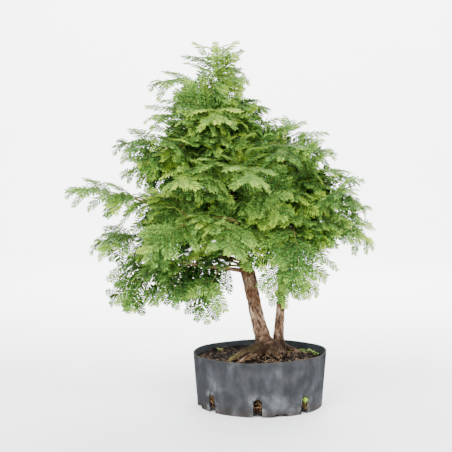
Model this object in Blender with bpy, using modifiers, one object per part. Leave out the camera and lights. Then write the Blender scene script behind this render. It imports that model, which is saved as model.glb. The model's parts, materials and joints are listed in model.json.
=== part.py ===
"""Dawn redwood bonsai: two trunks on one root base, in the cut-off lower part of a nursery pot.

Metres, +Z up. The origin is the centre of the pot's flat foot, and the viewer stands on the -Y side.
The pot is a turned shell with slots, the soil fills it, the wood is one grown piece, and each leafy
spray is a node of its own: a rib with side ribs in two ranks, all of them drawn out into needles.
"""

import math
import random

import bmesh
import bpy
from mathutils import Matrix, Vector
from mathutils.kdtree import KDTree

# Pot: a thin plastic wall that widens upwards, cut off by hand, so that its rim isn't quite level
POT_TOP_RADIUS = 0.100
POT_BASE_RADIUS = 0.0935
POT_HEIGHT = 0.079
POT_WALL = 0.0018
POT_SIDES = 36
RIM_TILT = 0.0018
RIM_WAVE = 0.0005
RIM_WAVE_COUNT = 5
RIM_WAVE_TURN = 0.8
FLOOR_UNDERSIDE = 0.0045
FLOOR_THICKNESS = 0.002
FOOT_RADIUS = 0.021
FOOT_SLOPE = 0.004
FOOT_WALL = 0.001

# Drain openings round the foot of the wall
SLOT_COUNT = 8
SLOT_WIDTH = 0.0125
SLOT_HEIGHT = 0.0265
SLOT_TURN = math.radians(-3.6)
NOTCH_COUNT = 4
NOTCH_WIDTH = 0.020
NOTCH_HEIGHT = 0.004
NOTCH_TURN = math.radians(17.3)
NOTCH_SLOPE = 0.002
SLOT_ARC_STEPS = 5
CUT_DEPTH = 0.016
CUT_BELOW_FOOT = 0.002

# Soil: fills the pot, and rises a little round the trunks
SOIL_LEVEL = 0.0695
SOIL_MOUND = 0.0085
MOUND_CENTRE = Vector((0.014, 0.002))
MOUND_REACH = 0.038
SOIL_RINGS = (0.96, 0.74, 0.46, 0.20)
SOIL_EDGE = 0.002
SOIL_LUMP = 0.0011
LUMP_WAVES = (95, 110)
LUMP_TURNS = (1.3, 0.4)
SEAT_GAP = 0.0003
SIDE_GAP = 0.0005
ROOT_HOLE_GAP = 0.0005

# Trunks: (x, y, z, radius) along each, from the stump in the soil to the top
OLD_TRUNK = (
    (0.0230, 0.0000, 0.040, 0.0120),
    (0.0165, 0.0000, 0.072, 0.0168),
    (0.0100, 0.0002, 0.086, 0.0145),
    (0.0045, 0.0005, 0.099, 0.0118),
    (-0.0022, 0.0015, 0.121, 0.0103),
    (-0.0094, 0.0030, 0.155, 0.0100),
    (-0.0160, 0.0045, 0.187, 0.0105),
    (-0.0238, 0.0055, 0.220, 0.0096),
    (-0.0418, 0.0050, 0.283, 0.0080),
    (-0.0560, 0.0020, 0.330, 0.0064),
    (-0.0655, 0.0000, 0.380, 0.0050),
    (-0.0705, 0.0010, 0.430, 0.0036),
    (-0.0720, 0.0020, 0.460, 0.0020),
)
YOUNG_TRUNK = (
    (0.0330, 0.0130, 0.045, 0.0080),
    (0.0305, 0.0125, 0.075, 0.0098),
    (0.0290, 0.0125, 0.100, 0.0082),
    (0.0303, 0.0130, 0.121, 0.0071),
    (0.0325, 0.0140, 0.155, 0.0065),
    (0.0345, 0.0150, 0.200, 0.0060),
    (0.0370, 0.0150, 0.245, 0.0053),
    (0.0400, 0.0160, 0.300, 0.0042),
    (0.0402, 0.0168, 0.328, 0.0034),
    (0.0390, 0.0165, 0.352, 0.0022),
)
TRUNKS = {"old": OLD_TRUNK, "young": YOUNG_TRUNK}
# Surface roots: each leaves the stump above the soil and dives into it
ROOTS = (
    ((0.0060, -0.0040, 0.092, 0.0062), (-0.0200, -0.0170, 0.0815, 0.0048),
     (-0.0390, -0.0265, 0.0725, 0.0038), (-0.0560, -0.0350, 0.0600, 0.0022)),
    ((0.0100, -0.0080, 0.086, 0.0060), (-0.0080, -0.0220, 0.0780, 0.0046),
     (-0.0270, -0.0350, 0.0700, 0.0034), (-0.0380, -0.0430, 0.0600, 0.0020)),
    ((0.0150, -0.0080, 0.084, 0.0070), (0.0260, -0.0210, 0.0760, 0.0050),
     (0.0330, -0.0340, 0.0640, 0.0026)),
    ((0.0120, 0.0080, 0.086, 0.0060), (-0.0080, 0.0270, 0.0765, 0.0042),
     (-0.0220, 0.0420, 0.0640, 0.0022)),
    ((0.0320, 0.0160, 0.084, 0.0060), (0.0520, 0.0270, 0.0750, 0.0040),
     (0.0680, 0.0370, 0.0640, 0.0022)),
)
OLD_TRUNK_SIDES = 10
YOUNG_TRUNK_SIDES = 8
ROOT_SIDES = 6
TWIG_SIDES = 4
THICK_TWIG_SIDES = 6
THICK_TWIG = 0.0030
# The first rows of a trunk, which are as much of it as the soil can touch
ROWS_IN_SOIL = 4

# Boughs that show in outline from the front: (trunk, height where it leaves, tip of its last spray, rise
# of that spray in degrees, slope at the trunk, side twigs)
BOUGHS = (
    ("old", 0.460, (-0.068, -0.024, 0.543), 84, 1.6, 0),
    ("young", 0.352, (0.034, 0.004, 0.430), 76, 1.4, 0),
    ("old", 0.405, (-0.163, -0.014, 0.472), -6, 0.8, 0),
    ("old", 0.360, (-0.171, 0.022, 0.426), 0, 0.6, 0),
    ("old", 0.325, (-0.216, -0.016, 0.381), -6, 0.6, 1),
    ("old", 0.290, (-0.206, 0.040, 0.336), -24, 0.4, 1),
    ("old", 0.245, (-0.285, -0.024, 0.316), 0, 0.5, 1),
    ("old", 0.225, (-0.256, 0.016, 0.231), -18, 0.3, 1),
    ("old", 0.198, (-0.216, -0.018, 0.142), -52, 0.05, 2),
    ("old", 0.430, (-0.014, 0.012, 0.472), -4, 0.8, 0),
    ("old", 0.375, (0.012, -0.010, 0.438), -4, 0.7, 0),
    ("young", 0.300, (0.080, -0.014, 0.409), -8, 0.7, 0),
    ("young", 0.285, (0.114, 0.014, 0.371), -8, 0.7, 0),
    ("young", 0.270, (0.145, -0.016, 0.333), -18, 0.5, 0),
    ("young", 0.245, (0.162, 0.024, 0.285), -30, 0.4, 0),
    ("young", 0.220, (0.162, -0.026, 0.232), -46, 0.3, 1),
    ("young", 0.212, (0.132, -0.036, 0.250), -34, 0.3, 0),
    ("young", 0.240, (0.030, -0.076, 0.156), -76, 0.2, 0),
    ("young", 0.226, (0.064, -0.052, 0.166), -66, 0.1, 0),
    ("young", 0.252, (0.052, -0.092, 0.192), -64, 0.3, 0),
    ("old", 0.232, (0.008, -0.084, 0.194), -58, 0.3, 0),
    ("old", 0.205, (-0.084, -0.070, 0.134), -66, 0.1, 0),
    ("old", 0.214, (-0.134, -0.058, 0.146), -58, 0.1, 0),
    ("old", 0.262, (-0.182, -0.034, 0.288), -28, 0.4, 0),
    ("young", 0.262, (0.096, 0.068, 0.316), -16, 0.4, 0),
)
# The other boughs go where the crown is emptiest, inside this outline: (height, left, right)
SPRAYS = 52
CROWN = (
    (0.140, -0.216, -0.086),
    (0.184, -0.214, -0.050),
    (0.211, -0.208, 0.076),
    (0.244, -0.200, 0.140),
    (0.288, -0.202, 0.162),
    (0.318, -0.204, 0.148),
    (0.345, -0.206, 0.130),
    (0.380, -0.198, 0.098),
    (0.415, -0.174, 0.060),
    (0.444, -0.152, 0.026),
    (0.471, -0.134, 0.000),
    (0.518, -0.108, -0.034),
    (0.545, -0.090, -0.050),
)
CROWN_DEPTH = 0.9
LOWEST_BOUGH = 0.205
HIGHEST_TIP = 0.480
NEAREST_TIP = 0.066
LEAST_OUT = 0.1
# The one bare bough shows from the front: (x, z) corners of the window that the others keep clear
BARE_BOUGH_FROM = (-0.128, 0.186)
BARE_BOUGH_TO = (-0.034, 0.216)
BETWEEN_TRUNKS = 0.035
YOUNG_TRUNK_REACH = 0.42
# How steeply a bough's spray rises and how steeply the bough leaves its trunk, from low in the crown to high
LOW_HEIGHT = 0.150
LOW_TO_HIGH = 0.320
LOW_RISE = -52
RISE_GAIN = 52
RISE_STRAY = 10
LOW_SLOPE = 0.3
SLOPE_GAIN = 0.5
BOUGH_CLIMB = (0.25, 0.45)
BELOW_TRUNK_TOP = 0.015
FILL_ROLL = 0.4
FILL_TRIALS = 30

# Sprays: a main frond with two pairs of side fronds, (hand, share of the main rib, length, lift in degrees)
MAIN_RIB = 0.072
SIDE_ANGLE = math.radians(48)
SIDE_FRONDS = (
    (-1, 0.13, 0.048, 15),
    (1, 0.18, 0.048, 15),
    (-1, 0.46, 0.038, -10),
    (1, 0.51, 0.038, -10),
)
MAIN_STATIONS = (0.25, 0.40, 0.60, 0.74, 0.88)
SIDE_STATIONS = (0.20, 0.47, 0.74)
MAIN_RIB_RADIUS = 0.00095
SIDE_RIB_RADIUS = 0.00075
RIB_THINNING = 0.4
ROOT_NARROWED = 0.4
ROOT_SUNK = 0.00025
FACE_LEAN = 0.3
FACE_PARTING = 0.020
SKYWARD = 4.0
RIB_CORNERS = ((-0.866, 0.5), (0.0, -1.0), (0.866, 0.5))
NEEDLE_LENGTH = 0.0135
NEEDLE_WIDTH = 0.0028
NEEDLE_SAG = 0.05
LONGEST_NEEDLES = 0.4
SHORTER_AT_ROOT = 0.38
SHORTER_AT_TIP = 0.52
NEEDLE_ANGLE = 68
NEEDLE_ANGLE_FALL = 22
DROOP = math.radians(34)
# A drooping rib's chord as a share of its length
CHORD = 0.99

# Twigs and boughs: smooth curves that thicken towards the trunk
TWIG_LENGTH = 0.040
TWIG_LENGTH_RANGE = (0.75, 1.1)
TWIG_ANGLE = math.radians(56)
TWIG_ANGLE_RANGE = (0.8, 1.25)
TWIG_CLIMB = 0.25
TWIG_SAG = 0.05
TWIG_ROOT_SHARE = 0.6
TWIG_PLACES = (0.50, 0.80)
TWIG_SPACING = 0.12
TWIG_ROLL = 0.5
TWIG_SIZE = 0.86
TWIG_END_RADIUS = 0.0010
BOUGH_LEAST_TAPER = 0.0004
BOUGH_THICKENING = 0.0125
BOUGH_TO_TRUNK = 0.62
BOUGH_TAPER = 0.8
BOUGH_PIECE = 0.055
BOUGH_LEAVES = 0.38
BOUGH_ARRIVES = 0.34
BOUGH_END_SHARE = 0.6
START_OFF_TRUNK = 0.012
SMALLEST_SPRAY = 0.6
SHARPEST_BEND = math.radians(38)
BOUGH_ROLL = 0.25
BOUGH_ROLL_GAIN = 3

# Room kept between sprays while the tree is grown
SAMPLE_STEP = 0.0028
NEEDLE_ROOM = 0.0034
WOOD_ROOM = 0.0022
TRIALS = 120
STRAY = 0.034
STRAY_CURVE = 1.3
ROOM_STRIDE = 4
SEED = 7

# Each material's name, base colour and roughness
POT_PLASTIC = ("grey_pot_plastic", (0.105, 0.115, 0.125), 0.5)
POTTING_SOIL = ("dark_potting_soil", (0.060, 0.038, 0.024), 0.95)
REDWOOD_BARK = ("redwood_bark", (0.225, 0.130, 0.085), 0.9)
NEEDLE_GREENS = (
    ("needle_green", (0.120, 0.270, 0.035), 0.55),
    ("needle_light_green", (0.200, 0.370, 0.055), 0.55),
    ("needle_deep_green", (0.065, 0.175, 0.030), 0.55),
)


class Frond:
    """One leafy branchlet: a rib on a circular arc that droops, with needles in two ranks."""

    def __init__(self, root, ahead, up, length, radius, stations):
        self.root = root
        self.ahead = ahead
        self.up = up
        self.side = ahead.cross(up)
        self.length = length
        self.radius = radius
        self.stations = [length * share for share in stations]

    def frame(self, along):
        """(point, direction ahead, direction up) on the rib, at a distance along it."""
        turn = DROOP * along / self.length
        bend = self.length / DROOP
        point = self.root + self.ahead * bend * math.sin(turn) - self.up * bend * (1 - math.cos(turn))
        ahead = self.ahead * math.cos(turn) - self.up * math.sin(turn)
        up = self.up * math.cos(turn) + self.ahead * math.sin(turn)
        return point, ahead, up

    def at(self, across, above, along):
        """The point this far to the side of the rib, above it and along it."""
        point, ahead, up = self.frame(along)
        return point + self.side * across + up * above

    def thickness(self, along):
        return self.radius * (1 - RIB_THINNING * along / self.length)

    def on_needle(self, along, hand, share):
        """A point part of the way out on the needle that leaves the rib here, to this hand."""
        reach, angle = needle_reach(along / self.length)
        out = reach * share
        return self.at(hand * out * math.sin(angle), -NEEDLE_SAG * out, along + out * math.cos(angle))


def needle_reach(share):
    """(length, angle from the rib) of the needles at this share of the rib: longest before the middle."""
    if share < LONGEST_NEEDLES:
        shorter = SHORTER_AT_ROOT * ((LONGEST_NEEDLES - share) / LONGEST_NEEDLES) ** 2
    else:
        shorter = SHORTER_AT_TIP * ((share - LONGEST_NEEDLES) / (1 - LONGEST_NEEDLES)) ** 2
    return NEEDLE_LENGTH * (1 - shorter), math.radians(NEEDLE_ANGLE - NEEDLE_ANGLE_FALL * share)


def bezier(a, b, c, d, count):
    """Points along a cubic curve, closer together towards its end."""
    found = []
    for i in range(count):
        t = (i / (count - 1)) ** BOUGH_END_SHARE
        found.append(a * (1 - t) ** 3 + b * 3 * t * (1 - t) ** 2 + c * 3 * t * t * (1 - t) + d * t ** 3)
    return found


def on_trunk(trunk, height):
    """The trunk's centre and radius at this height."""
    for low, high in zip(trunk, trunk[1:]):
        if height <= high[2]:
            share = (height - low[2]) / (high[2] - low[2])
            return Vector(low[:3]).lerp(Vector(high[:3]), share), low[3] + (high[3] - low[3]) * share
    return Vector(trunk[-1][:3]), trunk[-1][3]


def square_to(ahead, hint):
    """The unit vector square to ahead that comes nearest to the hint."""
    return (hint - ahead * hint.dot(ahead)).normalized()


def upright_to(ahead, y, roll):
    """Which way a spray's upper face looks: up, and out of the crown to the front or the back of it."""
    outwards = -1.0 if y < FACE_PARTING else 1.0
    steep = ahead.z ** 2
    up = square_to(ahead, Vector((0.0, outwards * (FACE_LEAN + steep), 1.0 - steep)))
    return Matrix.Rotation(roll, 3, ahead) @ up


def skyward(out, face, ahead):
    """Which way a side frond's upper face looks: to the sky where its spray stands up, else as the spray."""
    rise = max(0.0, ahead.z) ** 2
    return square_to(out, face + Vector((0.0, 0.0, SKYWARD * rise)))


def seat_on(wood, ahead):
    """Where a spray starts: just clear of all of its bough's end, which may point a little another way."""
    points, radii = wood
    last = (points[-1] - points[-2]).normalized()
    return points[-1] + ahead * (SEAT_GAP + radii[-1] * last.cross(ahead).length)


def spray_of(wood, ahead, roll, size):
    """The fronds of a spray that starts just off the end of its twig."""
    seat = seat_on(wood, ahead)
    up = upright_to(ahead, seat.y, roll)
    main = Frond(seat, ahead, up, MAIN_RIB * size, MAIN_RIB_RADIUS, MAIN_STATIONS)
    fronds = [main]
    for hand, share, length, lift in SIDE_FRONDS:
        fork, fork_ahead, fork_up = main.frame(main.length * share)
        away = Matrix.Rotation(hand * SIDE_ANGLE, 3, fork_up) @ fork_ahead
        tilt = Matrix.Rotation(math.radians(lift), 3, away.cross(fork_up))
        out = tilt @ away
        face = skyward(out, tilt @ fork_up, ahead)
        sunk = fork - fork_up * ROOT_SUNK
        fronds.append(Frond(sunk, out, face, length * size, SIDE_RIB_RADIUS, SIDE_STATIONS))
    return fronds


def leaf_samples(fronds):
    """Points along each needle and rib, close enough together to tell whether two sprays would meet."""
    found = []
    for frond in fronds:
        steps = int(frond.length / SAMPLE_STEP) + 2
        found += [frond.at(0.0, 0.0, SAMPLE_STEP * i) for i in range(1, steps)]
        for along in frond.stations:
            for hand in (-1, 1):
                found += [frond.on_needle(along, hand, share) for share in (0.25, 0.5, 0.75, 1.0)]
    return found


def wood_samples(points, radii):
    """(point, radius) every few millimetres along a tube."""
    found = []
    for i in range(len(points) - 1):
        steps = max(1, int((points[i + 1] - points[i]).length / SAMPLE_STEP))
        for k in range(steps):
            share = k / steps
            found.append((points[i].lerp(points[i + 1], share), radii[i] + (radii[i + 1] - radii[i]) * share))
    found.append((points[-1], radii[-1]))
    return found


def tree_of(points):
    tree = KDTree(max(1, len(points)))
    for i, point in enumerate(points):
        tree.insert(point, i)
    tree.balance()
    return tree


class Crown:
    """The growing tree: its twigs, its sprays, and the room that they take."""

    def __init__(self):
        self.twigs = []
        self.sprays = []
        self.leaf_points = []
        self.wood_points = []
        for trunk in TRUNKS.values():
            self.wood_points += wood_samples([Vector(p[:3]) for p in trunk], [p[3] for p in trunk])
        self.index()

    def index(self):
        self.leaf_tree = tree_of(self.leaf_points)
        self.wood_tree = tree_of([point for point, radius in self.wood_points])

    def free(self, spray, wood):
        """Whether a spray and its twig keep their distance from everything that has been placed."""
        for point in leaf_samples(spray):
            if self.leaf_points and self.leaf_tree.find(point)[2] < NEEDLE_ROOM:
                return False
            index, distance = self.wood_tree.find(point)[1:]
            if distance < self.wood_points[index][1] + WOOD_ROOM:
                return False
        for point, radius in wood_samples(*wood):
            if self.leaf_points and self.leaf_tree.find(point)[2] < radius + WOOD_ROOM:
                return False
        return True

    def room(self, spray):
        """How far a spray keeps from the others on the whole."""
        points = leaf_samples(spray)[::ROOM_STRIDE]
        return sum(self.leaf_tree.find(point)[2] for point in points) / len(points)

    def place(self, spray, wood):
        self.twigs.append(wood)
        self.sprays.append(spray)
        self.leaf_points += leaf_samples(spray)
        self.wood_points += wood_samples(*wood)
        self.index()


def bough_wood(start, start_radius, tip, rise, slope):
    """A bough up to where its spray begins: (points, radii), the direction there, and the spray's size."""
    flat = Vector((tip.x - start.x, tip.y - start.y, 0.0)).normalized()
    chord = flat * math.cos(rise) + Vector((0.0, 0.0, math.sin(rise)))
    ahead = flat * math.cos(rise + DROOP / 2) + Vector((0.0, 0.0, math.sin(rise + DROOP / 2)))
    # A spray that would start inside the trunk is a smaller one
    reach = (tip - start).xy.length - START_OFF_TRUNK
    size = min(1.0, max(SMALLEST_SPRAY, reach / (MAIN_RIB * math.cos(rise))))
    end = tip - chord * MAIN_RIB * size * CHORD
    span = (end - start).length
    leave = (flat + Vector((0.0, 0.0, slope))).normalized()
    count = 3 + min(2, int(span / BOUGH_PIECE))
    bend_out = start + leave * span * BOUGH_LEAVES
    bend_in = end - ahead * span * BOUGH_ARRIVES
    points = bezier(start, bend_out, bend_in, end, count)
    thick = TWIG_END_RADIUS + BOUGH_LEAST_TAPER + BOUGH_THICKENING * span
    thick = min(start_radius * BOUGH_TO_TRUNK, thick)
    radii = [thick + (TWIG_END_RADIUS - thick) * (i / (count - 1)) ** BOUGH_TAPER for i in range(count)]
    return (points, radii), ahead, size


def bends_gently(wood, ahead):
    """Whether a bough runs on into its spray without a sharp bend."""
    points = wood[0]
    return (points[-1] - points[-2]).angle(ahead) < SHARPEST_BEND


def side_twig(bough, share, hand, rng):
    """A twig that leaves a bough part of the way along, to one side."""
    points, radii = bough
    place = share * (len(points) - 1)
    i = min(int(place), len(points) - 2)
    start = points[i].lerp(points[i + 1], place - i)
    along = (points[i + 1] - points[i]).normalized()
    angle = hand * TWIG_ANGLE * rng.uniform(*TWIG_ANGLE_RANGE)
    ahead = Matrix.Rotation(angle, 3, square_to(along, Vector((0.0, 0.0, 1.0)))) @ along
    ahead = (ahead + Vector((0.0, 0.0, rng.uniform(-TWIG_CLIMB, TWIG_CLIMB)))).normalized()
    length = TWIG_LENGTH * rng.uniform(*TWIG_LENGTH_RANGE)
    arch = Vector((0.0, 0.0, TWIG_SAG * length))
    twig = [start, start + ahead * length / 2 + arch, start + ahead * length]
    thick = radii[i] * TWIG_ROOT_SHARE + TWIG_END_RADIUS * (1 - TWIG_ROOT_SHARE)
    return twig, [thick, (thick + TWIG_END_RADIUS) / 2, TWIG_END_RADIUS]


def grow_boughs(crown, rng):
    """The boughs that show in outline. Each one moves aside until it is clear of those before it."""
    grown = []
    for trunk, height, tip, rise, slope, twigs in BOUGHS:
        start, radius = on_trunk(TRUNKS[trunk], height)
        for trial in range(TRIALS):
            stray = STRAY * (trial / TRIALS) ** STRAY_CURVE
            aim = Vector(tip) + Vector([rng.uniform(-stray, stray) for axis in range(3)])
            roll = rng.uniform(-BOUGH_ROLL, BOUGH_ROLL) * (1 + BOUGH_ROLL_GAIN * trial / TRIALS)
            wood, ahead, size = bough_wood(start, radius, aim, math.radians(rise), slope)
            spray = spray_of(wood, ahead, roll, size)
            if crown.free(spray, wood) and bends_gently(wood, ahead):
                crown.place(spray, wood)
                grown.append((wood, twigs))
                break
    return grown


def grow_side_twigs(crown, rng, boughs):
    """Twigs with a smaller spray, to one side of the longest boughs and then the other."""
    for wood, twigs in boughs:
        for k in range(twigs):
            for trial in range(TRIALS):
                share = rng.uniform(*TWIG_PLACES) - TWIG_SPACING * k
                hand = (1 if k % 2 else -1) * (1 if trial % 2 else -1)
                twig = side_twig(wood, share, hand, rng)
                ahead = (twig[0][-1] - twig[0][-2]).normalized()
                spray = spray_of(twig, ahead, rng.uniform(-TWIG_ROLL, TWIG_ROLL), TWIG_SIZE)
                if crown.free(spray, twig):
                    crown.place(spray, twig)
                    break


def crown_middle(height):
    """The crown's middle and half its width at this height."""
    for low, high in zip(CROWN, CROWN[1:]):
        if height <= high[0]:
            share = (height - low[0]) / (high[0] - low[0])
            left = low[1] + (high[1] - low[1]) * share
            right = low[2] + (high[2] - low[2]) * share
            return (left + right) / 2, (right - left) / 2
    return 0.0, 0.0


def in_crown(point):
    middle, half = crown_middle(point.z)
    if half <= 0.0 or point.z < CROWN[0][0]:
        return False
    return ((point.x - middle) / half) ** 2 + (point.y / (half * CROWN_DEPTH)) ** 2 <= 1.0


def stray_bough(rng):
    """A bough to a random tip inside the crown's outline, from the trunk on that side."""
    height = rng.uniform(CROWN[0][0], HIGHEST_TIP)
    middle, half = crown_middle(height)
    turn = rng.uniform(0.0, math.tau)
    out = half * math.sqrt(rng.uniform(LEAST_OUT, 1.0))
    tip = Vector((middle + out * math.cos(turn), out * CROWN_DEPTH * math.sin(turn), height))
    on_young = tip.x > rng.uniform(0.0, BETWEEN_TRUNKS) and height < YOUNG_TRUNK_REACH
    trunk = TRUNKS["young" if on_young else "old"]
    high = (height - LOW_HEIGHT) / LOW_TO_HIGH
    rise = math.radians(LOW_RISE + RISE_GAIN * high + rng.uniform(-RISE_STRAY, RISE_STRAY))
    away = (tip - on_trunk(trunk, height)[0]).length
    leaves = height - math.sin(rise) * MAIN_RIB - away * rng.uniform(*BOUGH_CLIMB)
    leaves = min(max(leaves, LOWEST_BOUGH), trunk[-1][2] - BELOW_TRUNK_TOP)
    start, radius = on_trunk(trunk, leaves)
    wood, ahead, size = bough_wood(start, radius, tip, rise, LOW_SLOPE + SLOPE_GAIN * high)
    return wood, spray_of(wood, ahead, rng.uniform(-FILL_ROLL, FILL_ROLL), size)


def in_window(point):
    """Whether a point hangs before the bare bough."""
    low, high = BARE_BOUGH_FROM, BARE_BOUGH_TO
    return point.y < 0.0 and low[0] < point.x < high[0] and low[1] < point.z < high[1]


def hides_bough(spray):
    return any(in_window(point) for point in leaf_samples(spray)[::ROOM_STRIDE])


def fits_crown(spray, start):
    """Whether a spray reaches well out from its trunk, with every frond's tip inside the outline."""
    tips = [frond.at(0.0, 0.0, frond.length) for frond in spray]
    reach = (tips[0] - start).xy.length
    return reach > NEAREST_TIP and all(in_crown(tip) for tip in tips) and not hides_bough(spray)


def fill_crown(crown, rng):
    """Adds the bough that keeps furthest from the others, until the crown has all its sprays."""
    while len(crown.sprays) < SPRAYS:
        found = []
        while len(found) < FILL_TRIALS:
            wood, spray = stray_bough(rng)
            gentle = bends_gently(wood, spray[0].ahead)
            if gentle and fits_crown(spray, wood[0][0]) and crown.free(spray, wood):
                found.append((crown.room(spray), len(found), wood, spray))
        room, index, wood, spray = max(found)
        crown.place(spray, wood)


def grow():
    """The whole crown, from the outline inwards."""
    rng = random.Random(SEED)
    crown = Crown()
    boughs = grow_boughs(crown, rng)
    grow_side_twigs(crown, rng, boughs)
    fill_crown(crown, rng)
    return crown


def clear_scene():
    for obj in list(bpy.data.objects):
        bpy.data.objects.remove(obj)


def new_collection(name):
    collection = bpy.data.collections.new(name)
    bpy.context.scene.collection.children.link(collection)
    return collection


def material(name, colour, roughness):
    made = bpy.data.materials.new(name)
    made.use_nodes = True
    shader = made.node_tree.nodes["Principled BSDF"]
    shader.inputs["Base Color"].default_value = (*colour, 1.0)
    shader.inputs["Roughness"].default_value = roughness
    shader.inputs["Metallic"].default_value = 0.0
    return made


def mesh_object(name, mesh, collection):
    obj = bpy.data.objects.new(name, mesh)
    collection.objects.link(obj)
    return obj


def as_mesh(obj, collection):
    """Replaces a curve or a modified object with its evaluated mesh, welded."""
    bpy.context.view_layer.update()
    graph = bpy.context.evaluated_depsgraph_get()
    mesh = bpy.data.meshes.new_from_object(obj.evaluated_get(graph))
    mesh.transform(obj.matrix_world)
    bm = bmesh.new()
    bm.from_mesh(mesh)
    bmesh.ops.remove_doubles(bm, verts=bm.verts, dist=0.000001)
    bm.to_mesh(mesh)
    bm.free()
    name = obj.name
    bpy.data.objects.remove(obj)
    return mesh_object(name, mesh, collection)


def tube(name, points, radii, sides, collection):
    """A round piece of wood along its points, with a radius at each."""
    curve = bpy.data.curves.new(name, "CURVE")
    curve.dimensions = "3D"
    curve.bevel_depth = 0.001
    curve.bevel_resolution = (sides - 4) // 2
    curve.use_fill_caps = True
    spline = curve.splines.new("POLY")
    spline.points.add(len(points) - 1)
    for place, point, radius in zip(spline.points, points, radii):
        place.co = (*point, 1.0)
        place.radius = radius / curve.bevel_depth
    obj = bpy.data.objects.new(name, curve)
    collection.objects.link(obj)
    return as_mesh(obj, collection)


def join_all(obj, others, operation, solver, home):
    """Applies one Boolean of a whole collection to obj, and removes that collection's objects."""
    change = obj.modifiers.new("Join", "BOOLEAN")
    change.operation = operation
    change.operand_type = "COLLECTION"
    change.collection = others
    change.solver = solver
    made = as_mesh(obj, home)
    for other in list(others.objects):
        bpy.data.objects.remove(other)
    bpy.data.collections.remove(others)
    return made


def turned(name, profile, sides, collection):
    """A turned piece from (radius, height) points that run down its outer side."""
    mesh = bpy.data.meshes.new(name)
    mesh.from_pydata([(r, 0.0, z) for r, z in profile], [(i, i + 1) for i in range(len(profile) - 1)], [])
    obj = mesh_object(name, mesh, collection)
    screw = obj.modifiers.new("Turn", "SCREW")
    screw.axis = "Z"
    screw.steps = sides
    screw.render_steps = sides
    screw.use_merge_vertices = True
    screw.merge_threshold = 0.00001
    screw.use_smooth_shade = True
    return as_mesh(obj, collection)


def outside_radius(z):
    return POT_BASE_RADIUS + (POT_TOP_RADIUS - POT_BASE_RADIUS) * z / POT_HEIGHT


def rim_rise(x, y):
    """How far the hand-cut rim stands above its mean height at this side of the pot."""
    turn = math.atan2(y, x)
    return RIM_TILT * math.cos(turn) + RIM_WAVE * math.sin(RIM_WAVE_COUNT * turn + RIM_WAVE_TURN)


def wall_cutter(name, outline, turn, collection):
    """A flat outline, (across, up), pushed through the foot of the pot's wall at this side of it."""
    curve = bpy.data.curves.new(name, "CURVE")
    curve.dimensions = "2D"
    curve.fill_mode = "BOTH"
    curve.extrude = CUT_DEPTH / 2
    spline = curve.splines.new("POLY")
    spline.points.add(len(outline) - 1)
    for place, (across, up) in zip(spline.points, outline):
        place.co = (across, up, 0.0, 1.0)
    spline.use_cyclic_u = True
    obj = bpy.data.objects.new(name, curve)
    collection.objects.link(obj)
    upright = Matrix.Rotation(math.radians(90), 4, "X")
    outwards = Matrix.Translation((0.0, -POT_BASE_RADIUS, 0.0))
    obj.matrix_world = Matrix.Rotation(turn, 4, "Z") @ outwards @ upright
    return as_mesh(obj, collection)


def slot_outline():
    """An upright slot with a round top, which runs out through the pot's foot."""
    half = SLOT_WIDTH / 2
    outline = [(-half, -CUT_BELOW_FOOT), (half, -CUT_BELOW_FOOT)]
    for i in range(SLOT_ARC_STEPS + 1):
        turn = math.pi * i / SLOT_ARC_STEPS
        outline.append((half * math.cos(turn), SLOT_HEIGHT - half + half * math.sin(turn)))
    return outline


def notch_outline():
    """A shallow notch in the pot's bottom edge, narrower at its top."""
    half = NOTCH_WIDTH / 2
    narrow = half - NOTCH_SLOPE
    foot = [(-half, -CUT_BELOW_FOOT), (half, -CUT_BELOW_FOOT)]
    return foot + [(narrow, NOTCH_HEIGHT), (-narrow, NOTCH_HEIGHT)]


def make_pot(home):
    """The pot: a thin turned shell with a raised floor, cut through by the slots and notches."""
    floor_top = FLOOR_UNDERSIDE + FLOOR_THICKNESS
    profile = [
        (0.0, FLOOR_THICKNESS),
        (FOOT_RADIUS - FOOT_WALL, FLOOR_THICKNESS),
        (FOOT_RADIUS + FOOT_SLOPE - FOOT_WALL, floor_top),
        (outside_radius(floor_top) - POT_WALL, floor_top),
        (POT_TOP_RADIUS - POT_WALL, POT_HEIGHT),
        (POT_TOP_RADIUS, POT_HEIGHT),
        (POT_BASE_RADIUS, 0.0),
        (POT_BASE_RADIUS - POT_WALL, 0.0),
        (outside_radius(FLOOR_UNDERSIDE) - POT_WALL, FLOOR_UNDERSIDE),
        (FOOT_RADIUS + FOOT_SLOPE, FLOOR_UNDERSIDE),
        (FOOT_RADIUS, 0.0),
        (0.0, 0.0),
    ]
    pot = turned("pot", profile, POT_SIDES, home)
    for vertex in pot.data.vertices:
        if vertex.co.z > POT_HEIGHT / 2:
            vertex.co.z += rim_rise(vertex.co.x, vertex.co.y)
    cutters = new_collection("pot_cutters")
    for i in range(SLOT_COUNT):
        turn = SLOT_TURN + i * math.tau / SLOT_COUNT
        wall_cutter(f"slot_{i}", slot_outline(), turn, cutters)
    for i in range(NOTCH_COUNT):
        turn = NOTCH_TURN + i * math.tau / NOTCH_COUNT
        wall_cutter(f"notch_{i}", notch_outline(), turn, cutters)
    pot = join_all(pot, cutters, "DIFFERENCE", "EXACT", home)
    pot.data.materials.clear()
    pot.data.materials.append(material(*POT_PLASTIC))
    return pot


def soil_height(x, y):
    """The soil's surface: level, with a mound round the trunks and shallow lumps."""
    away = (Vector((x, y)) - MOUND_CENTRE).length
    mound = SOIL_MOUND * math.exp(-((away / MOUND_REACH) ** 2))
    across = math.sin(x * LUMP_WAVES[0] + LUMP_TURNS[0])
    deep = math.sin(y * LUMP_WAVES[1] + LUMP_TURNS[1])
    return SOIL_LEVEL + mound + SOIL_LUMP * across * deep


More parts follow.
